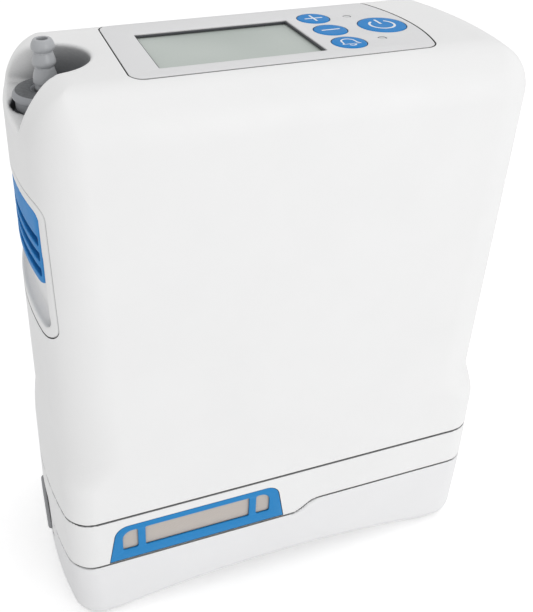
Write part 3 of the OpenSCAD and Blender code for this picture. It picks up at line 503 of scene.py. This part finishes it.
def mixed(tree, factor, a, b):
    """A colour between a and b; each is a colour or a socket."""
    node = tree.nodes.new("ShaderNodeMix")
    node.data_type = "RGBA"
    if isinstance(factor, float):
        node.inputs[0].default_value = factor
    else:
        tree.links.new(factor, node.inputs[0])
    for socket, v in ((node.inputs[6], a), (node.inputs[7], b)):
        if isinstance(v, tuple):
            socket.default_value = v
        else:
            tree.links.new(v, socket)
    return node.outputs[2]


def bumped(tree, height, strength, distance_mm, below=None):
    """A bump, laid over the one below if there is one."""
    node = tree.nodes.new("ShaderNodeBump")
    node.inputs["Strength"].default_value = strength
    node.inputs["Distance"].default_value = distance_mm * MM
    tree.links.new(height, node.inputs["Height"])
    if below is not None:
        tree.links.new(below, node.inputs["Normal"])
    return node.outputs["Normal"]


def paint_shade(tree, colour, reach_mm, dark, low, high):
    """Paints shade into the places where little open space is left within reach_mm."""
    node = tree.nodes.new("ShaderNodeAmbientOcclusion")
    node.samples = 8
    node.inputs["Distance"].default_value = reach_mm * MM
    return mixed(tree, ranged(tree, node.outputs["AO"], 1.0, 0.0, low, high), colour, dark)


def finish_of(
    name, rgb, rough=0.5, spread_rough=0.06, grain_mm=0.45, grain=0.25, tint=0.03, wear=0.15,
    hollow_shade=None, hollow_shade_reach=HOLLOW_SHADE_REACH, top=None, **more
):
    """Moulded or machined: cloudy colour, fine grain, uneven gloss, worn edges, and painted shade in gaps
    and hollows.
    """
    mat, tree, shader, coords = new_material(name)
    base = linear(rgb)
    dark = tuple(c * (1 - 2 * tint) for c in base[:3]) + (1.0,)
    cloud = noise(tree, coords, 24.0, 2.0)
    fine = noise(tree, coords, grain_mm, 4.0, 0.65)
    colour = mixed(tree, ranged(tree, cloud, 0.0, 1.0), dark, base)
    speck = tuple(c * (1 - tint) for c in base[:3]) + (1.0,)
    colour = mixed(tree, ranged(tree, fine, 0.0, 0.55), colour, speck)
    geometry = tree.nodes.new("ShaderNodeNewGeometry")
    edge = ranged(tree, geometry.outputs["Pointiness"], 0.0, wear, 0.52, 0.60)
    pale = tuple(min(c * 1.25 + 0.03, 1.0) for c in base[:3]) + (1.0,)
    colour = mixed(tree, edge, colour, pale)
    if top:
        facing = tree.nodes.new("ShaderNodeSeparateXYZ")
        tree.links.new(geometry.outputs["Normal"], facing.inputs[0])
        upward = ranged(tree, facing.outputs["Z"], 0.0, 1.0, 0.8, 0.95)
        pit = tuple(c * 0.5 for c in linear(top)[:3]) + (1.0,)
        colour = mixed(tree, upward, colour, mixed(tree, ranged(tree, fine, 0.0, 1.0), linear(top), pit))
    # Painted shade: deep hollows, such as the nozzle cup, are darkened towards the given shade colour.
    if hollow_shade:
        colour = paint_shade(tree, colour, hollow_shade_reach, linear(hollow_shade), 0.4, 0.92)
    # Painted shade: narrow gaps between parts are darkened towards a near-black of the base colour.
    crease_shade = tuple(c * 0.16 for c in base[:3]) + (1.0,)
    colour = paint_shade(tree, colour, GAP_SHADE_REACH, crease_shade, 0.35, 0.75)
    tree.links.new(colour, shader.inputs["Base Color"])
    handled = noise(tree, coords, 7.0, 3.0)
    tree.links.new(
        ranged(tree, handled, rough - spread_rough, rough + spread_rough),
        shader.inputs["Roughness"],
    )
    wave = bumped(tree, cloud, 0.06, 1.0)
    tree.links.new(bumped(tree, fine, grain, 0.06, wave), shader.inputs["Normal"])
    for key, v in more.items():
        shader.inputs[key.replace("_", " ")].default_value = v
    return mat


def weave(name, rgb):
    """Fine woven mesh: two crossed sets of threads."""
    mat, tree, shader, coords = new_material(name)
    split = tree.nodes.new("ShaderNodeSeparateXYZ")
    tree.links.new(coords, split.inputs[0])
    waves = []
    for socket in ("X", "Z"):
        scale = tree.nodes.new("ShaderNodeMath")
        scale.operation = "MULTIPLY"
        scale.inputs[1].default_value = 2 * math.pi / (WEAVE_PITCH * MM)
        tree.links.new(split.outputs[socket], scale.inputs[0])
        wave = tree.nodes.new("ShaderNodeMath")
        wave.operation = "SINE"
        tree.links.new(scale.outputs[0], wave.inputs[0])
        waves.append(wave.outputs[0])
    cross = tree.nodes.new("ShaderNodeMath")
    cross.operation = "MULTIPLY"
    tree.links.new(waves[0], cross.inputs[0])
    tree.links.new(waves[1], cross.inputs[1])
    base = linear(rgb)
    dark = tuple(c * 0.7 for c in base[:3]) + (1.0,)
    fibre = noise(tree, coords, 0.2, 2.0)
    colour = mixed(tree, ranged(tree, cross.outputs[0], 0.0, 1.0, -0.8, 0.6), dark, base)
    colour = mixed(tree, ranged(tree, fibre, 0.0, 0.3), colour, dark)
    tree.links.new(colour, shader.inputs["Base Color"])
    shader.inputs["Roughness"].default_value = 0.85
    shader.inputs["Specular IOR Level"].default_value = 0.2
    tree.links.new(bumped(tree, cross.outputs[0], 0.3, 0.05), shader.inputs["Normal"])
    return mat


def display_glass(name):
    """Unlit liquid crystal behind a clear window, with soft bands of reflected light painted into its
    colour.
    """
    mat, tree, shader, coords = new_material(name)
    cloud = noise(tree, coords, 40.0, 1.0)
    fine = noise(tree, coords, 0.3, 2.0)
    # Painted reflection: the large cloud noise lays soft light bands across the colour.
    colour = mixed(tree, ranged(tree, cloud, 0.0, 1.0), linear((176, 184, 179)), linear((200, 207, 202)))
    colour = mixed(tree, ranged(tree, fine, 0.0, 0.25), colour, linear((188, 195, 190)))
    tree.links.new(colour, shader.inputs["Base Color"])
    tree.links.new(ranged(tree, fine, 0.3, 0.4), shader.inputs["Roughness"])
    shader.inputs["Specular IOR Level"].default_value = 0.2
    tree.links.new(bumped(tree, fine, 0.03, 0.02), shader.inputs["Normal"])
    return mat


# The dark grey here is painted shade for the nozzle cup and other hollows of the shell.
WHITE = finish_of("shell_white", (242, 242, 242), rough=0.52, grain=0.22, tint=0.012, hollow_shade=(100, 102, 105))
BLUE_MOULDING = {"tint": 0.04, "Specular_IOR_Level": 0.15}
FINISH = {
    "body_white": WHITE,
    "battery_white": finish_of("battery_white", (239, 239, 240), rough=0.54, grain=0.22, tint=0.012),
    "panel_grey": finish_of("panel_grey", (228, 228, 229), rough=0.42, grain=0.1, tint=0.01),
    "lcd_glass": display_glass("display_glass"),
    "button_blue": finish_of("button_blue", (28, 135, 210), rough=0.42, grain=0.12, **BLUE_MOULDING),
    "lens_grey": finish_of("lens_grey", (214, 216, 217), rough=0.22, grain=0.03, Coat_Weight=0.5),
    "nozzle_grey": finish_of("nozzle_grey", (180, 182, 185), rough=0.36, grain=0.14, tint=0.05),
    "disc_grey": finish_of(
        "disc_grey", (158, 160, 164), rough=0.48, grain=0.7, grain_mm=0.9, tint=0.05, top=(98, 101, 104)
    ),
    "vent_blue": finish_of("vent_blue", (50, 140, 210), rough=0.46, grain=0.15, **BLUE_MOULDING),
    "intake_blue": finish_of("intake_blue", (44, 137, 202), rough=0.44, grain=0.12, **BLUE_MOULDING),
    "mesh_tan": weave("mesh_tan", (212, 204, 197)),
    "black_plastic": finish_of("black_plastic", (38, 38, 40), rough=0.5, grain=0.3, tint=0.08),
    "grey_plastic": finish_of("grey_plastic", (150, 151, 154), rough=0.55, grain=0.3, tint=0.04),
    "board_green": finish_of("board_green", (28, 96, 52), rough=0.35, grain=0.3, tint=0.15, grain_mm=1.4),
    "rubber_black": finish_of("rubber_black", (26, 26, 27), rough=0.8, grain=0.5, tint=0.1),
    "aluminium": finish_of("aluminium", (200, 201, 204), rough=0.34, grain=0.3, grain_mm=0.3, Metallic=1.0),
    "steel": finish_of("steel", (176, 177, 180), rough=0.3, grain=0.25, grain_mm=0.25, Metallic=1.0),
    "copper": finish_of("copper", (186, 110, 62), rough=0.3, grain=0.6, grain_mm=0.5, Metallic=1.0),
    "gold": finish_of("gold", (222, 184, 104), rough=0.22, grain=0.1, Metallic=1.0),
    "cell_wrap": finish_of("cell_wrap", (24, 128, 108), rough=0.25, grain=0.08, tint=0.06),
    "tube_clear": finish_of("tube_clear", (198, 208, 212), rough=0.3, grain=0.05, Transmission_Weight=0.3),
}
# The dark grey here is painted shade for the finger scoop under the vent grille.
BEZEL = finish_of(
    "bezel_white", (240, 240, 240), rough=0.5, tint=0.012, hollow_shade=(104, 107, 110), hollow_shade_reach=6.0
)
# Dark grey for strips set in the panel's gap and the window's recess: painted shade where those gaps fall
# in shadow.
GAP_SHADE_FINISH = finish_of("gap_shade_grey", (78, 80, 84), rough=0.7, grain=0.2, tint=0.05)
SYMBOL = finish_of("symbol_grey", (236, 240, 244), rough=0.4, grain=0.08, tint=0.02)

NODE_SLOT = {s["node"]: s["material_slot"] for s in frame["record"]["subparts"]}
for node_name, node_object in frame["nodes"].items():
    finish = FINISH[NODE_SLOT[node_name]]
    if not node_object.material_slots:
        node_object.data.materials.append(finish)
    for material_slot in node_object.material_slots:
        material_slot.material = finish


def piece(obj, body_name, *nodes, slot=None, material=None):
    """Gives a finished piece its material, its body and the CAD nodes it stands for."""
    slot = slot or NODE_SLOT[nodes[0]]
    obj.data.materials.clear()
    obj.data.materials.append(material or FINISH[slot])
    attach(obj, body_name)
    if nodes:
        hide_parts(*nodes)
    return obj


# ---------------------------------------------------------------- outlines


def panel_outline(grow=0.0):
    """Square left end, arched right end."""
    half, r = PANEL_HALF, PANEL_CORNER
    centre = PANEL_X1 - PANEL_END_R
    corner_x = centre + math.sqrt((PANEL_END_R - r) ** 2 - (half - r) ** 2)
    turn = math.degrees(math.asin((half - r) / (PANEL_END_R - r)))
    out = arc(PANEL_X0 + r, half - r, r + grow, 90, 180, 12)
    out += arc(PANEL_X0 + r, r - half, r + grow, 180, 270, 12)
    out += arc(corner_x, r - half, r + grow, 270, 360 - turn, 12)
    out += arc(centre, 0, PANEL_END_R + grow, -turn, turn, 40)[1:-1]
    return out + arc(corner_x, half - r, r + grow, turn, 90, 12)


def panel_holes():
    """Centre and radius of every button and lamp."""
    holes = [(BUTTON_X, BUTTON_Y + row * BUTTON_PITCH, SMALL_R) for row in (-1, 0, 1)]
    holes.append((POWER_X, BUTTON_Y, POWER_R))
    return holes + [(LAMP_X, BUTTON_Y + side * LAMP_DY, LAMP_R) for side in (-1, 1)]


def intake_outline(grow=0.0):
    """Leaning sides, round upper corners, in X and Z."""
    half, h, r = INTAKE_W / 2, INTAKE_H, INTAKE_R
    turn = math.degrees(math.atan(LEAN))
    cx, cz = half - LEAN * (h - r) - r / math.cos(math.atan(LEAN)), h - r
    right = arc(cx, cz, r + grow, turn, 90, 12)
    left = [(-x, z) for x, z in right[::-1]]
    points = [(-half - grow, -grow), (half + grow, -grow)] + right + left
    return [(INTAKE_X + x, INTAKE_Z + z) for x, z in points]


# ---------------------------------------------------------------- housings


def build_upper():
    """The cover, opened for the panel, its keys and window, and the vent."""
    xs = spread((-76, -48, 0.55), (-48, 76, 1.1))
    side = spread((-35, -24, 0.9), (-24, 24, 0.6), (24, 35, 0.9))
    zs = spread((44.4, 46.0, 0.16), (46.0, 158, 1.3), (158, 184, 0.55))
    obj = field_mesh("upper_shell", upper_field, xs, side, zs)
    x0, y0, x1, y1 = np.array(WINDOW) + WINDOW_LAP * np.array((-1, -1, 1, 1))
    openings = [[(x0, y0), (x1, y0), (x1, y1), (x0, y1)]]
    openings += [circle(x, y, r + 0.25) for x, y, r in panel_holes()]
    carve(
        obj,
        *[prism("cutter", outline, BODY_H - 12, BODY_H + 5) for outline in openings],
        prism("cutter", panel_outline(PANEL_GAP), BODY_H - 1.05, BODY_H + 5),
        prism(
            "cutter",
            round_rect(-VENT_HALF - 0.2, VENT_Z0 - 0.2, VENT_HALF + 0.2, VENT_Z1 + 0.2, 4.7),
            -BODY_L / 2 - 5,
            VENT_BACK,
            "x",
        ),
    )
    return piece(smooth(obj, 40), ROOT, "upper_housing")


def build_base():
    """The base, opened for both intakes, the latch, the battery deck, the columns and the inlet."""
    xs = spread((-76, 76, 0.85))
    ys = spread((-35, 35, 0.85))
    zs = spread((24.6, 31.0, 0.2), (31.0, 43.6, 0.9), (43.6, 45.2, 0.16))
    obj = field_mesh("base_shell", base_field, xs, ys, zs)
    carve(
        obj,
        prism("cutter", intake_outline(0.15), -40, -BODY_W / 2 + 2.7, "y"),
        prism("cutter", intake_outline(0.15), BODY_W / 2 - 2.7, 40, "y"),
        box_prism("cutter", (-80, -11.3, 0), (-69.2, 11.3, 32.8)),
        box_prism("cutter", (-70.2, -DECK_HALF, 0), (13.4, DECK_HALF, DECK_TOP)),
        box_prism("cutter", (-1.3, -10.5, 20), (13.4, 10.5, 29.0)),
        prism("cutter", circle(52, 15.6, 14.9, 96), 20, 60),
        prism("cutter", circle(52, -15.6, 14.9, 96), 20, 60),
        prism("cutter", circle(0, 38, 4.6, 64), 60, 80, "x"),
    )
    return piece(smooth(obj, 40), ROOT, "base_housing")


def build_battery():
    """The battery case, notched for the latch."""
    xs = spread((-76, 76, 0.85))
    ys = spread((-35, 35, 0.85))
    zs = spread((-0.8, 24.2, 0.85), (24.2, 30.6, 0.2))
    obj = field_mesh("battery_shell", battery_field, xs, ys, zs)
    carve(obj, box_prism("cutter", (-80, -11.3, 15.2), (-69.2, 11.3, 40)))
    return piece(smooth(obj, 40), "battery", "battery_case")


# ---------------------------------------------------------------- control panel


def build_panel():
    """The inlaid panel, with dark strips in the gap round it and round its window, as painted shade."""
    holes = [round_rect(*WINDOW, 0.5)] + [circle(x, y, r + 0.1) for x, y, r in panel_holes()]
    panel = plate("panel_plate", [panel_outline()] + holes, BODY_H - 1.0, BODY_H, bevel=0.18)
    piece(panel, ROOT, "control_panel")
    x0, y0, x1, y1 = WINDOW
    w = WINDOW_SHADE_W
    # Painted shade: dark strips fill the gap round the panel and the edge of the window's recess.
    rims = {
        "panel_gap_shade": [panel_outline(PANEL_GAP - 0.02), panel_outline(0.02)],
        "window_gap_shade": [round_rect(*WINDOW, 0.5), round_rect(x0 + w, y0 + w, x1 - w, y1 - w, 0.3)],
    }
    for name, outlines in rims.items():
        shade_strip = plate(name, outlines, BODY_H - 1.0, BODY_H - 0.45, bevel=0.05)
        piece(shade_strip, ROOT, slot="rubber_black", material=GAP_SHADE_FINISH)
    build_lamps()


def build_lamps():
    """Two domed lenses. Together they stand for one CAD node, which the second one names."""
    top = BODY_H - 0.05
    dome = [(0, top)]
    for a in np.linspace(0.2, 1.3, 8):
        dome.append((LAMP_R * math.sin(a), top - 0.25 * (1 - math.cos(a))))
    dome += [(LAMP_R, top - 0.4), (LAMP_R, top - 5.0), (0, top - 5.0)]
    for n, (side, nodes) in enumerate(((-1, ()), (1, ("indicator_lenses",)))):
        lens = lathe(f"indicator_lens_{n}", dome, (LAMP_X, BUTTON_Y + side * LAMP_DY, 0), 40)
        piece(lens, ROOT, *nodes, slot="lens_grey")


def button_cap(name, x, y, r, body_name):
    """A membrane key: flat crown, soft edge, flange and stem below."""
    top = BODY_H + 0.1
    profile = [(0, top), (r * 0.6, top), (r - 0.35, top - 0.04), (r, top - 0.35), (r, top - 2.9)]
    profile += [(r + 0.6, top - 3.1), (r + 0.6, top - 4.0), (1.5, top - 4.1), (0, top - 4.1)]
    cap = lathe(name + "_cap", rounded(profile, 0.18, 3), (x, y, 0), 96)
    piece(cap, body_name, name)


def symbol(name, body_name, *strokes):
    """Raised strokes joined in one mesh."""
    bm = bmesh.new()
    for n, (path, width, closed) in enumerate(strokes):
        mesh = stroke(f"{name}_{n}", path, width, BODY_H - 0.15, BODY_H + 0.17, closed)
        bm.from_mesh(mesh)
    mesh = bpy.data.meshes.new(name)
    bm.to_mesh(mesh)
    bm.free()
    obj = bpy.data.objects.new(name, mesh)
    bpy.context.scene.collection.objects.link(obj)
    piece(smooth(obj), body_name, slot="panel_grey", material=SYMBOL)


def build_buttons():
    """Four keys and their plain raised signs."""
    rows = {"plus_button": 1, "minus_button": 0, "alert_button": -1}
    for name, row in rows.items():
        button_cap(name, BUTTON_X, BUTTON_Y + row * BUTTON_PITCH, SMALL_R, name)
    button_cap("power_button", POWER_X, BUTTON_Y, POWER_R, "power_button")
    x, y = BUTTON_X, BUTTON_Y + BUTTON_PITCH
    symbol(
        "plus_sign", "plus_button",
        ([(x - 2.9, y), (x + 2.9, y)], 0.8, False),
        ([(x, y - 2.9), (x, y + 2.9)], 0.8, False),
    )
    y = BUTTON_Y
    symbol("minus_sign", "minus_button", ([(x - 2.9, y), (x + 2.9, y)], 0.8, False))
    y = BUTTON_Y - BUTTON_PITCH
    bell = [(x - 2.7, y - 1.6), (x - 2.1, y - 0.8)] + arc(x, y + 0.6, 2.0, 180, 0, 16)
    bell += [(x + 2.1, y - 0.8), (x + 2.7, y - 1.6)]
    symbol(
        "bell_sign", "alert_button",
        (bell, 0.62, True),
        (arc(x, y - 1.9, 1.0, 200, 340, 10), 0.62, False),
    )
    symbol(
        "power_sign", "power_button",
        (arc(POWER_X, BUTTON_Y, 3.7, 125, 415, 40), 0.9, False),
        ([(POWER_X, BUTTON_Y + 0.4), (POWER_X, BUTTON_Y + 4.6)], 0.9, False),
    )


# ---------------------------------------------------------------- nozzle


def build_nozzle():
    """The barbed outlet and the disc it stands on."""
    stem, tip, groove, pitch = 163.6, 188.4, 180.6, 4.2
    profile = [(1.5, stem), (2.9, stem), (2.9, 176.0), (3.25, 176.4), (3.25, 177.8), (3.1, 178.6)]
    for z in (groove, groove + pitch):
        profile += [(2.62, z - 0.3), (2.45, z - 0.1), (2.45, z + 0.1), (2.95, z + 0.6), (3.17, z + 1.1)]
        profile += [(3.2, z + 1.6), (3.08, z + 2.2)]
    profile += [(2.9, tip - 0.9), (2.45, tip - 0.15), (2.1, tip), (1.6, tip)]
    profile += [(1.5, tip - 0.2), (1.5, stem)]
    nozzle = lathe("outlet_nozzle", rounded(profile, 0.15), (-NOZZLE_X, 0, 0), 96, limit=25)
    piece(nozzle, ROOT, "cannula_nozzle")
    profile = [(2.95, 169.6), (8.5, 169.6), (8.5, 172.3), (9.2, 172.6), (9.2, 173.5), (8.4, 174.6)]
    profile += [(6.5, 174.75), (4.2, 174.6), (3.9, 174.1), (2.95, 174.1), (2.95, 169.6)]
    disc = lathe("nozzle_disc", rounded(profile, 0.3), (-NOZZLE_X, 0, 0), 128)
    piece(disc, ROOT, "nozzle_base")


# ---------------------------------------------------------------- vent


def end_block(y, z, half, z0, z1, r):
    """Distance to a round-cornered window in the left end."""
    return meet(np.abs(y) - half, np.abs(z - (z0 + z1) / 2) - (z1 - z0) / 2, r)


def build_vent():
    """A bezel inlaid in the left end, with the grille above and a finger scoop below it."""

    def shell(x, y, z, proud):
        skin = body(x, y, z)
        return np.maximum(np.maximum(skin - proud, -4.4 - skin), x - VENT_BACK), skin

    def bezel(x, y, z):
        d, skin = shell(x, y, z, 0.0)
        d = meet(d, end_block(y, z, VENT_HALF - 0.05, VENT_Z0 + 0.05, VENT_Z1 - 0.05, 4.5), 0.45)
        opening = end_block(y, z, GRILLE_HALF + 0.1, SCOOP_Z0, GRILLE_Z1 + 0.1, 2.5)
        d = cut(d, np.maximum(opening, GRILLE_Z0 - 0.1 - z), 0.5)
        scoop = meet(end_block(y, z, GRILLE_HALF + 0.1, SCOOP_Z0, GRILLE_Z1, 2.5), -3.0 - skin, 2.6)
        return cut(d, np.maximum(scoop, z - GRILLE_Z0 - 0.3), 0.5)

    xs = spread((-76, -63.6, 0.4))
    ys = spread((-29.6, 29.6, 0.36))
    obj = field_mesh("vent_bezel_plate", bezel, xs, ys, spread((110.8, 155.8, 0.36)), 3)
    piece(smooth(obj, 50), ROOT, "vent_bezel", material=BEZEL)

    def grille(x, y, z):
        d, skin = shell(x, y, z, -0.3)
        d = meet(d, end_block(y, z, GRILLE_HALF, GRILLE_Z0, GRILLE_Z1, 2.5), 0.6)
        for n in range(3):
            low = SLOT_Z + n * SLOT_PITCH + 0.3 * skin
            slot_d = end_block(y, z, SLOT_HALF, low, low + SLOT_H, 0.7)
            d = cut(d, slot_d, 0.35)
        notch = end_block(y, z, 3.0, GRILLE_Z1 - 3.2, GRILLE_Z1 + 2, 1.0)
        return cut(d, np.maximum(notch, -2.2 - skin), 0.3)

    obj = field_mesh("exhaust_louvres", grille, xs, spread((-27, 27, 0.36)), spread((128.6, 152.3, 0.3)), 3)
    piece(smooth(obj, 50), ROOT, "exhaust_grille")


# ---------------------------------------------------------------- air intakes


def build_intake(side, body_name, suffix):
    """A frame with three windows over a woven mesh. side is -1 at the front and 1 at the back."""
    face, back = side * BODY_W / 2, side * (BODY_W / 2 - 2.6)
    z0, z1 = INTAKE_Z + 4.0, INTAKE_Z + 12.2
    windows = [
        round_rect(INTAKE_X - 24.9, z0, INTAKE_X - 20.0, z1, 0.8, 0.8, 0.8, 3.2),
        round_rect(INTAKE_X - 17.6, z0, INTAKE_X + 17.0, z1, 0.6),
        round_rect(INTAKE_X + 19.4, z0, INTAKE_X + 24.1, z1, 0.8, 0.8, 3.2, 0.8),
    ]
    x0, x1, zl, zh = INTAKE_X - 25.4, INTAKE_X + 25.4, INTAKE_Z + 3.5, INTAKE_Z + 12.7
    step = face - side * 0.7
    tray = [intake_outline(-0.05), round_rect(x0 - 0.1, zl - 0.1, x1 + 0.1, zh + 0.1, 0.3)]
    bm = bmesh.new()
    front_plate = [intake_outline(-0.05)] + windows
    for outlines, a, b, bevel in ((front_plate, face, step, 0.2), (tray, step, back, 0.1)):
        part = plate("intake_part", outlines, min(a, b), max(a, b), "y", bevel)
        bm.from_mesh(part.data)
        bpy.data.objects.remove(part)
    rim = mesh_object("intake_frame_" + suffix, [], [])
    bm.to_mesh(rim.data)
    bm.free()
    piece(smooth(rim), body_name, "intake_frame_" + suffix)

    nx, nz = 260, 48
    front, rear = side * (BODY_W / 2 - 0.74), side * (BODY_W / 2 - 2.1)
    turn = 2 * math.pi / WEAVE_PITCH
    verts, faces = [], []
    for layer, depth in enumerate((front, rear)):
        for i in range(nx + 1):
            for k in range(nz + 1):
                x, z = x0 + (x1 - x0) * i / nx, zl + (zh - zl) * k / nz
                lift = 0.0
                if not layer:
                    lift = 0.03 * (math.sin(turn * x) * math.sin(turn * z) - 1)
                verts.append((x, depth + side * lift, z))
    count = (nx + 1) * (nz + 1)
    for i in range(nx):
        for k in range(nz):
            a = i * (nz + 1) + k
            quad = (a, a + nz + 1, a + nz + 2, a + 1)
            faces.append(quad)
            faces.append(tuple(count + q for q in quad[::-1]))
    rim_line = list(range(nz + 1))
    rim_line += [i * (nz + 1) + nz for i in range(1, nx + 1)]
    rim_line += [nx * (nz + 1) + k for k in range(nz - 1, -1, -1)]
    rim_line += [i * (nz + 1) for i in range(nx - 1, 0, -1)]
    for a, b in zip(rim_line, rim_line[1:] + rim_line[:1]):
        faces.append((a, b, b + count, a + count))
    net = mesh_object("intake_mesh_" + suffix, verts, faces)
    bm = bmesh.new()
    bm.from_mesh(net.data)
    bmesh.ops.recalc_face_normals(bm, faces=bm.faces)
    bm.to_mesh(net.data)
    bm.free()
    net.name = "woven_filter_" + suffix
    piece(smooth(net, 50), body_name, "intake_mesh_" + suffix)


# ---------------------------------------------------------------- latch and inlet


def build_latch():
    """A flush plate with two guide stems, and a grey thumb pad standing proud of it."""
    mid_z, high = (LATCH_Z0 + LATCH_Z1) / 2, (LATCH_Z1 - LATCH_Z0) / 2
    face = -BODY_L / 2 - LATCH_PROUD

    def plate_field(x, y, z):
        d = meet(np.abs(y) - LATCH_HALF, np.abs(z - mid_z) - high, 3.4)
        d = meet(d, face + 1.2 - x, 0.5)
        d = np.maximum(d, x - face - 3.0)
        stem = np.maximum(np.abs(np.abs(y) - 4.0) - 1.5, np.abs(z - 30.9) - 1.0)
        stem = np.maximum(stem, np.maximum(face + 2.5 - x, x - face - 11.0))
        return np.minimum(d, stem)

    def pad_field(x, y, z):
        d = meet(np.abs(y) - LATCH_HALF + 1.2, np.abs(z - PAD_Z) - PAD_H / 2, 3.8)
        d = meet(d, face - x, 1.0)
        dish = meet(d + 1.5, x - face - 0.6, 0.8)
        return cut(np.maximum(d, x - face - 1.2), dish, 0.3)

    ys, zs = spread((-11.8, 11.8, 0.35)), spread((14.8, 33.2, 0.35))
    xs = spread((face - 0.6, face + 4.0, 0.25), (face + 4.0, face + 11.6, 0.8))
    piece(smooth(field_mesh("latch_plate", plate_field, xs, ys, zs, 3), 50), "latch", "battery_latch")
    pad = field_mesh("latch_pad", pad_field, spread((face - 0.6, face + 1.6, 0.2)), ys, zs, 3)
    piece(smooth(pad, 50), "latch", slot="grey_plastic")


def build_inlet():
    """The round power socket in the right end."""
    x0, x1 = 62.5, 74.4
    profile = [(0, x0), (4.5, x0), (4.5, x1), (3.2, x1), (2.75, x1 - 0.4), (2.75, x0 + 2.4), (0, x0 + 2.4)]
    inlet = lathe("power_jack", rounded(profile, 0.3), (0, 0, 38.0), 64, "x")
    piece(inlet, ROOT, "power_inlet")


# ---------------------------------------------------------------- studio


def build_studio():
    """A white floor and sky, a large soft light in front and one above."""
    far = 6000
    corners = [(-far, -far, 0), (far, -far, 0), (far, far, 0), (-far, far, 0)]
    floor = mesh_object("studio_floor", corners, [(0, 1, 2, 3)])
    mat, tree, shader, coords = new_material("studio_floor")
    cloud = noise(tree, coords, 900.0, 1.0)
    colour = mixed(tree, ranged(tree, cloud, 0.0, 1.0), (0.93, 0.93, 0.93, 1.0), (0.96, 0.96, 0.96, 1.0))
    tree.links.new(colour, shader.inputs["Base Color"])
    shader.inputs["Roughness"].default_value = 0.7
    shader.inputs["Specular IOR Level"].default_value = 0.0
    path = tree.nodes.new("ShaderNodeLightPath")
    lift = ranged(tree, path.outputs["Is Camera Ray"], 0.0, 0.3, 0.0, 1.0)
    tree.links.new(lift, shader.inputs["Emission Strength"])
    shader.inputs["Emission Color"].default_value = (1.0, 1.0, 1.0, 1.0)
    floor.data.materials.append(mat)

    world = bpy.data.worlds.new("studio")
    world.use_nodes = True
    world.node_tree.nodes["Background"].inputs["Color"].default_value = (1.0, 1.0, 1.0, 1.0)
    tree = world.node_tree
    path = tree.nodes.new("ShaderNodeLightPath")
    strength = ranged(tree, path.outputs["Is Camera Ray"], 0.72, 1.1, 0.0, 1.0)
    tree.links.new(strength, tree.nodes["Background"].inputs["Strength"])
    bpy.context.scene.world = world

    def soft_box(name, spot, aim, size, power):
        data = bpy.data.lights.new(name, "AREA")
        data.shape, data.size, data.energy = "DISK", size, power
        light = bpy.data.objects.new(name, data)
        light.location = spot
        direction = np.subtract(aim, spot)
        light.rotation_euler = (
            math.atan2(math.hypot(direction[0], direction[1]), -direction[2]),
            0,
            math.atan2(direction[1], direction[0]) - math.pi / 2,
        )
        bpy.context.scene.collection.objects.link(light)

    soft_box("front_box", (0.75, -1.35, 0.45), (0, 0, 0.1), 0.9, 6.0)
    soft_box("top_box", (0.3, 0.2, 1.6), (0, 0, 0.1), 1.0, 3.6)
    bpy.context.scene.view_settings.view_transform = "Standard"


CAMERA_SPOT = (-0.082389, -0.196483, 0.253174)
CAMERA_YAW, CAMERA_DIP = 0.301, 0.438
LENS, SHIFT = 45.585, (0.1206, -0.2914)


def build_camera():
    """The main viewpoint. Its shifted frame holds there only, so other views stay centred."""
    data = bpy.data.cameras.new("camera")
    camera = bpy.data.objects.new("camera", data)
    bpy.context.scene.collection.objects.link(camera)
    camera.location = CAMERA_SPOT
    camera.rotation_euler = (math.pi / 2 - CAMERA_DIP, 0, -CAMERA_YAW)
    data.lens, data.clip_start, data.clip_end = LENS, 0.01, 50
    for key, amount in zip(("shift_x", "shift_y"), SHIFT):
        driver = data.driver_add(key).driver
        driver.type = "SCRIPTED"
        variable = driver.variables.new()
        variable.name = "x"
        variable.type = "SINGLE_PROP"
        variable.targets[0].id = camera
        variable.targets[0].data_path = "location.x"
        driver.expression = f"{amount} if abs(x - {CAMERA_SPOT[0]}) < 0.0001 else 0.0"
    bpy.context.scene.camera = camera


build_upper()
build_base()
build_battery()
build_panel()
build_buttons()
build_nozzle()
build_vent()
build_intake(-1, "front_intake", "front")
build_intake(1, "rear_intake", "rear")
build_latch()
build_inlet()
build_studio()
build_camera()

bpy.context.view_layer.update()
